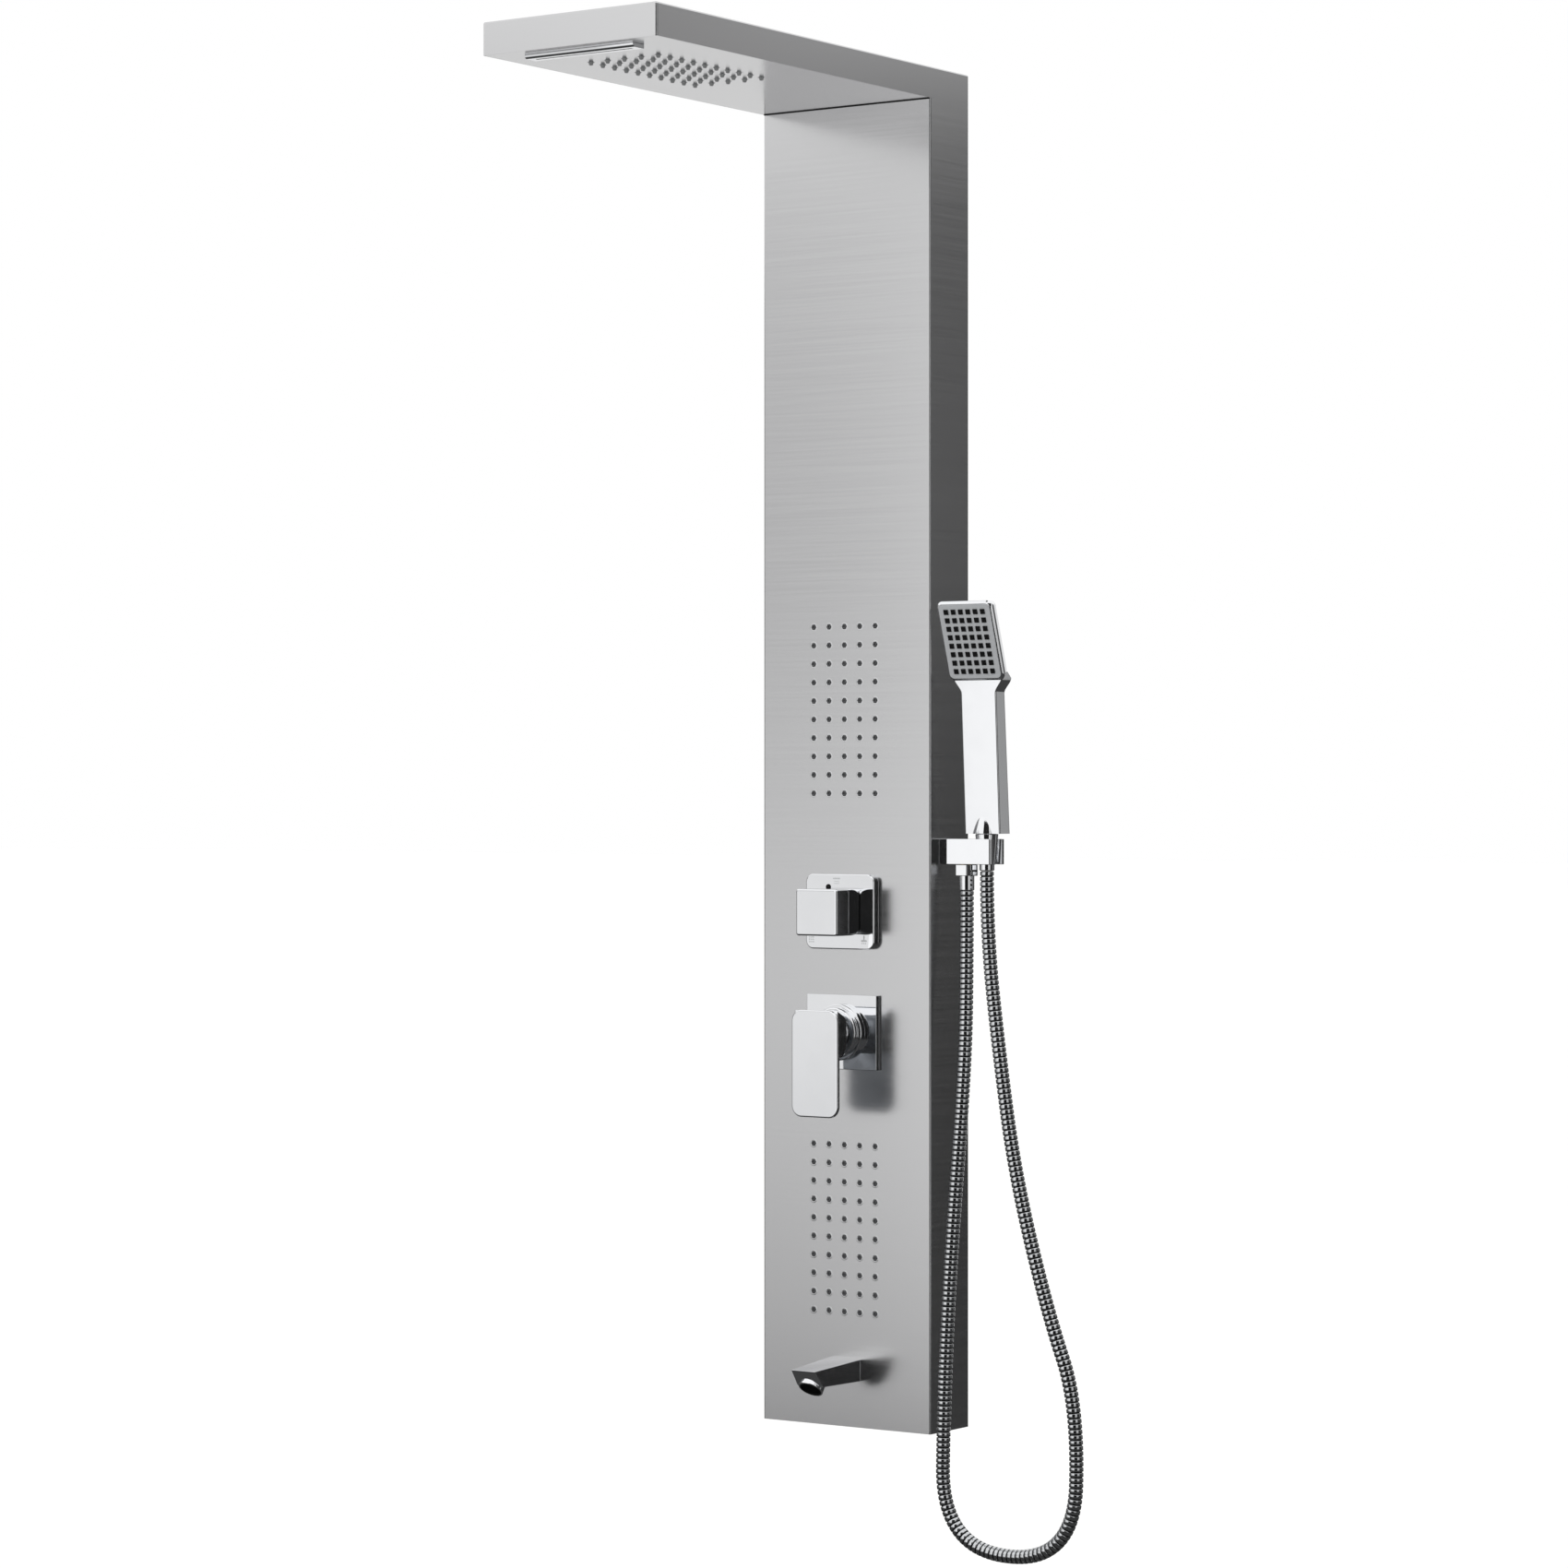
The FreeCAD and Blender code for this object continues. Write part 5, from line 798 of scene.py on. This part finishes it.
def card(name, first, last, low, high, stops, near=3.0):
    """Upright card that only reflections see, bent on a circle 3 m round the column.

    It runs between two bearings in degrees, 0 straight in front and 90 to the right; stops give its brightness
    from its foot to its top. A foot that is nearer than 3 m makes it lie along the floor.
    """
    material = bpy.data.materials.new(name)
    material.use_nodes = True
    tree = material.node_tree
    tree.nodes.clear()
    place = add_node(tree, "ShaderNodeTexCoord").outputs["Object"]
    height = add_node(tree, "ShaderNodeSeparateXYZ", {"Vector": place}).outputs["Z"]
    fac = add_node(tree, "ShaderNodeMapRange", {"Value": height, "From Min": low, "From Max": high})
    light = add_node(tree, "ShaderNodeEmission", {"Color": ramp(tree, fac.outputs["Result"], stops)})
    tree.links.new(
        light.outputs[0], add_node(tree, "ShaderNodeOutputMaterial").inputs["Surface"])
    bearing = np.radians(np.linspace(first, last, 33))
    row = np.stack([np.sin(bearing), -np.cos(bearing), np.zeros(33)], -1)
    middle = -0.1 * Y
    obj = stage_sheet(name, near * row + middle + low * Z, 3.0 * row + middle + high * Z, material)
    for ray in ("camera", "diffuse", "shadow", "transmission", "volume_scatter"):
        setattr(obj, "visible_" + ray, False)
    return obj


class SHOWER_OT_studio(bpy.types.Operator):
    """Make the floor, the world, the cards, the lamps and the camera"""
    bl_idname = "shower_panel.studio"
    bl_label = "Studio"

    def execute(self, context):
        scene = context.scene
        settings = scene.shower_studio
        scene.view_settings.view_transform = "Standard"
        self.world(scene, settings)
        self.floor(settings)
        # The fronts reflect the pale card, the right-hand sides the dark ones, and round parts all of them in turn.
        low = settings.floor + 0.02
        card("ground_card", 0, 360, low, low + 0.01, [(0.0, 0.05), (1.0, 0.05)], 0.02)
        seam = -31.7
        card("bright_card", seam, 4, low, 0.5, [(0.0, 0.8), (0.3, 1.0), (1.0, 1.0)])
        card("pale_card", -56, seam, low, 0.5,
             [(0.0, 0.50), (0.2, 0.65), (0.36, 0.80), (0.48, 0.77),
              (0.62, 0.62), (0.7, 0.60), (0.82, 0.65), (1.0, 0.68)])
        card("camera_card", 4, 55, low, 1.3, [(0.0, 0.01), (1.0, 0.02)])
        card("narrow_card", 60, 84, low, 1.1, [(0.0, 0.5), (1.0, 0.6)])
        card("side_card", 84, 130, low, 1.1, [(0.0, 0.03), (1.0, 0.06)])
        card("grey_card", 130, 139.5, low, 1.1, [(0.0, 0.28), (1.0, 0.35)])
        card("back_card", 139.5, 178, low, 1.1,
             [(0.0, 0.04), (0.14, 0.035), (0.4, 0.055), (0.55, 0.11), (0.78, 0.115), (0.84, 0.46), (1.0, 0.55)])
        card("far_card", 178, 235, low, 0.3, [(0.0, 0.78), (1.0, 0.78)])
        card("left_card", -125, -56, low, 0.3, [(0.0, 0.10), (1.0, 0.2)])
        self.lamp("key", (-2.6, -3.2, 2.2), 2.4, 62)
        self.lamp("side", (3.4, -1.2, 1.2), 1.8, 16)
        self.camera(scene, settings)
        return {"FINISHED"}

    @staticmethod
    def world(scene, settings):
        """White where it is seen or reflected, a plain level where it lights dull surfaces."""
        world = bpy.data.worlds.new("studio")
        world.use_nodes = True
        tree = world.node_tree
        level = add_node(tree, "ShaderNodeMapRange", {"Value": seen_rays(tree), "To Min": settings.fill, "To Max": 1.0})
        background = tree.nodes["Background"]
        background.inputs["Color"].default_value = (1, 1, 1, 1)
        tree.links.new(level.outputs["Result"], background.inputs["Strength"])
        scene.world = world

    @staticmethod
    def floor(settings):
        """Pale matt floor; rays that see it get a little of its own light, so it meets the white backdrop."""
        material = bpy.data.materials.new("painted_floor")
        material.use_nodes = True
        tree = material.node_tree
        shader = tree.nodes["Principled BSDF"]
        shader.inputs["Base Color"].default_value = (*linear("#E6E6E4"), 1)
        shader.inputs["Roughness"].default_value = 0.9
        shader.inputs["Emission Color"].default_value = (1, 1, 1, 1)
        level = add_node(tree, "ShaderNodeMapRange", {"Value": seen_rays(tree), "To Min": 0.0, "To Max": 0.42})
        tree.links.new(level.outputs["Result"], shader.inputs["Emission Strength"])
        z = settings.floor
        stage_sheet("floor", [(-60, -60, z), (60, -60, z)], [(-60, 60, z), (60, 60, z)], material)

    @staticmethod
    def lamp(name, place, size, power):
        """Soft square lamp that looks at the middle of the column."""
        light = bpy.data.lights.new(name, "AREA")
        light.size = size
        light.energy = power
        obj = bpy.data.objects.new(name, light)
        bpy.context.collection.objects.link(obj)
        obj.location = place
        obj.visible_glossy = False
        aim = np.array([0, -0.1, -0.5]) - np.array(place)
        obj.rotation_euler = (math.acos(-aim[2] / np.linalg.norm(aim)), 0, math.atan2(-aim[0], aim[1]))

    @staticmethod
    def camera(scene, settings):
        """Camera at the photograph's place, level but for a twentieth of a degree."""
        data = bpy.data.cameras.new("camera")
        data.lens = settings.lens
        data.sensor_width = 36.0
        data.clip_end = 200.0
        obj = bpy.data.objects.new("camera", data)
        bpy.context.collection.objects.link(obj)
        obj.location = (2.5300, -3.7949, -0.5462)
        obj.rotation_euler = (math.pi / 2 + math.radians(0.047), 0, math.radians(34.966))
        scene.camera = obj


# ---- Panel and registration --------------------------------------------------------------------------------
OPERATORS = [
    SHOWER_OT_studio, SHOWER_OT_finishes, SHOWER_OT_hose, SHOWER_OT_nozzles, SHOWER_OT_diverter, SHOWER_OT_mixer,
    SHOWER_OT_spout, SHOWER_OT_holder, SHOWER_OT_hand_shower,
]
GROUPS = {
    "shower_hose": HoseSettings, "shower_nozzles": NozzleSettings, "shower_finish": FinishSettings,
    "shower_studio": StudioSettings,
}


class SHOWER_PT_panel(bpy.types.Panel):
    """Lists the panel's pieces and their settings"""
    bl_idname = "SHOWER_PT_panel"
    bl_label = "Shower Panel"
    bl_space_type = "VIEW_3D"
    bl_region_type = "UI"
    bl_category = "Shower Panel"

    def draw(self, context):
        for operator in OPERATORS:
            self.layout.operator(operator.bl_idname)
        for name, group in GROUPS.items():
            box = self.layout.box()
            for key in group.__annotations__:
                box.prop(getattr(context.scene, name), key)


def register():
    for name, group in GROUPS.items():
        bpy.utils.register_class(group)
        setattr(bpy.types.Scene, name, bpy.props.PointerProperty(type=group))
    for item in OPERATORS + [SHOWER_PT_panel]:
        bpy.utils.register_class(item)


def unregister():
    for item in reversed(OPERATORS + [SHOWER_PT_panel]):
        bpy.utils.unregister_class(item)
    for name, group in GROUPS.items():
        delattr(bpy.types.Scene, name)
        bpy.utils.unregister_class(group)


def main():
    register()
    for operator in OPERATORS:
        getattr(bpy.ops.shower_panel, operator.bl_idname.split(".")[1])()


if __name__ == "__main__":
    main()
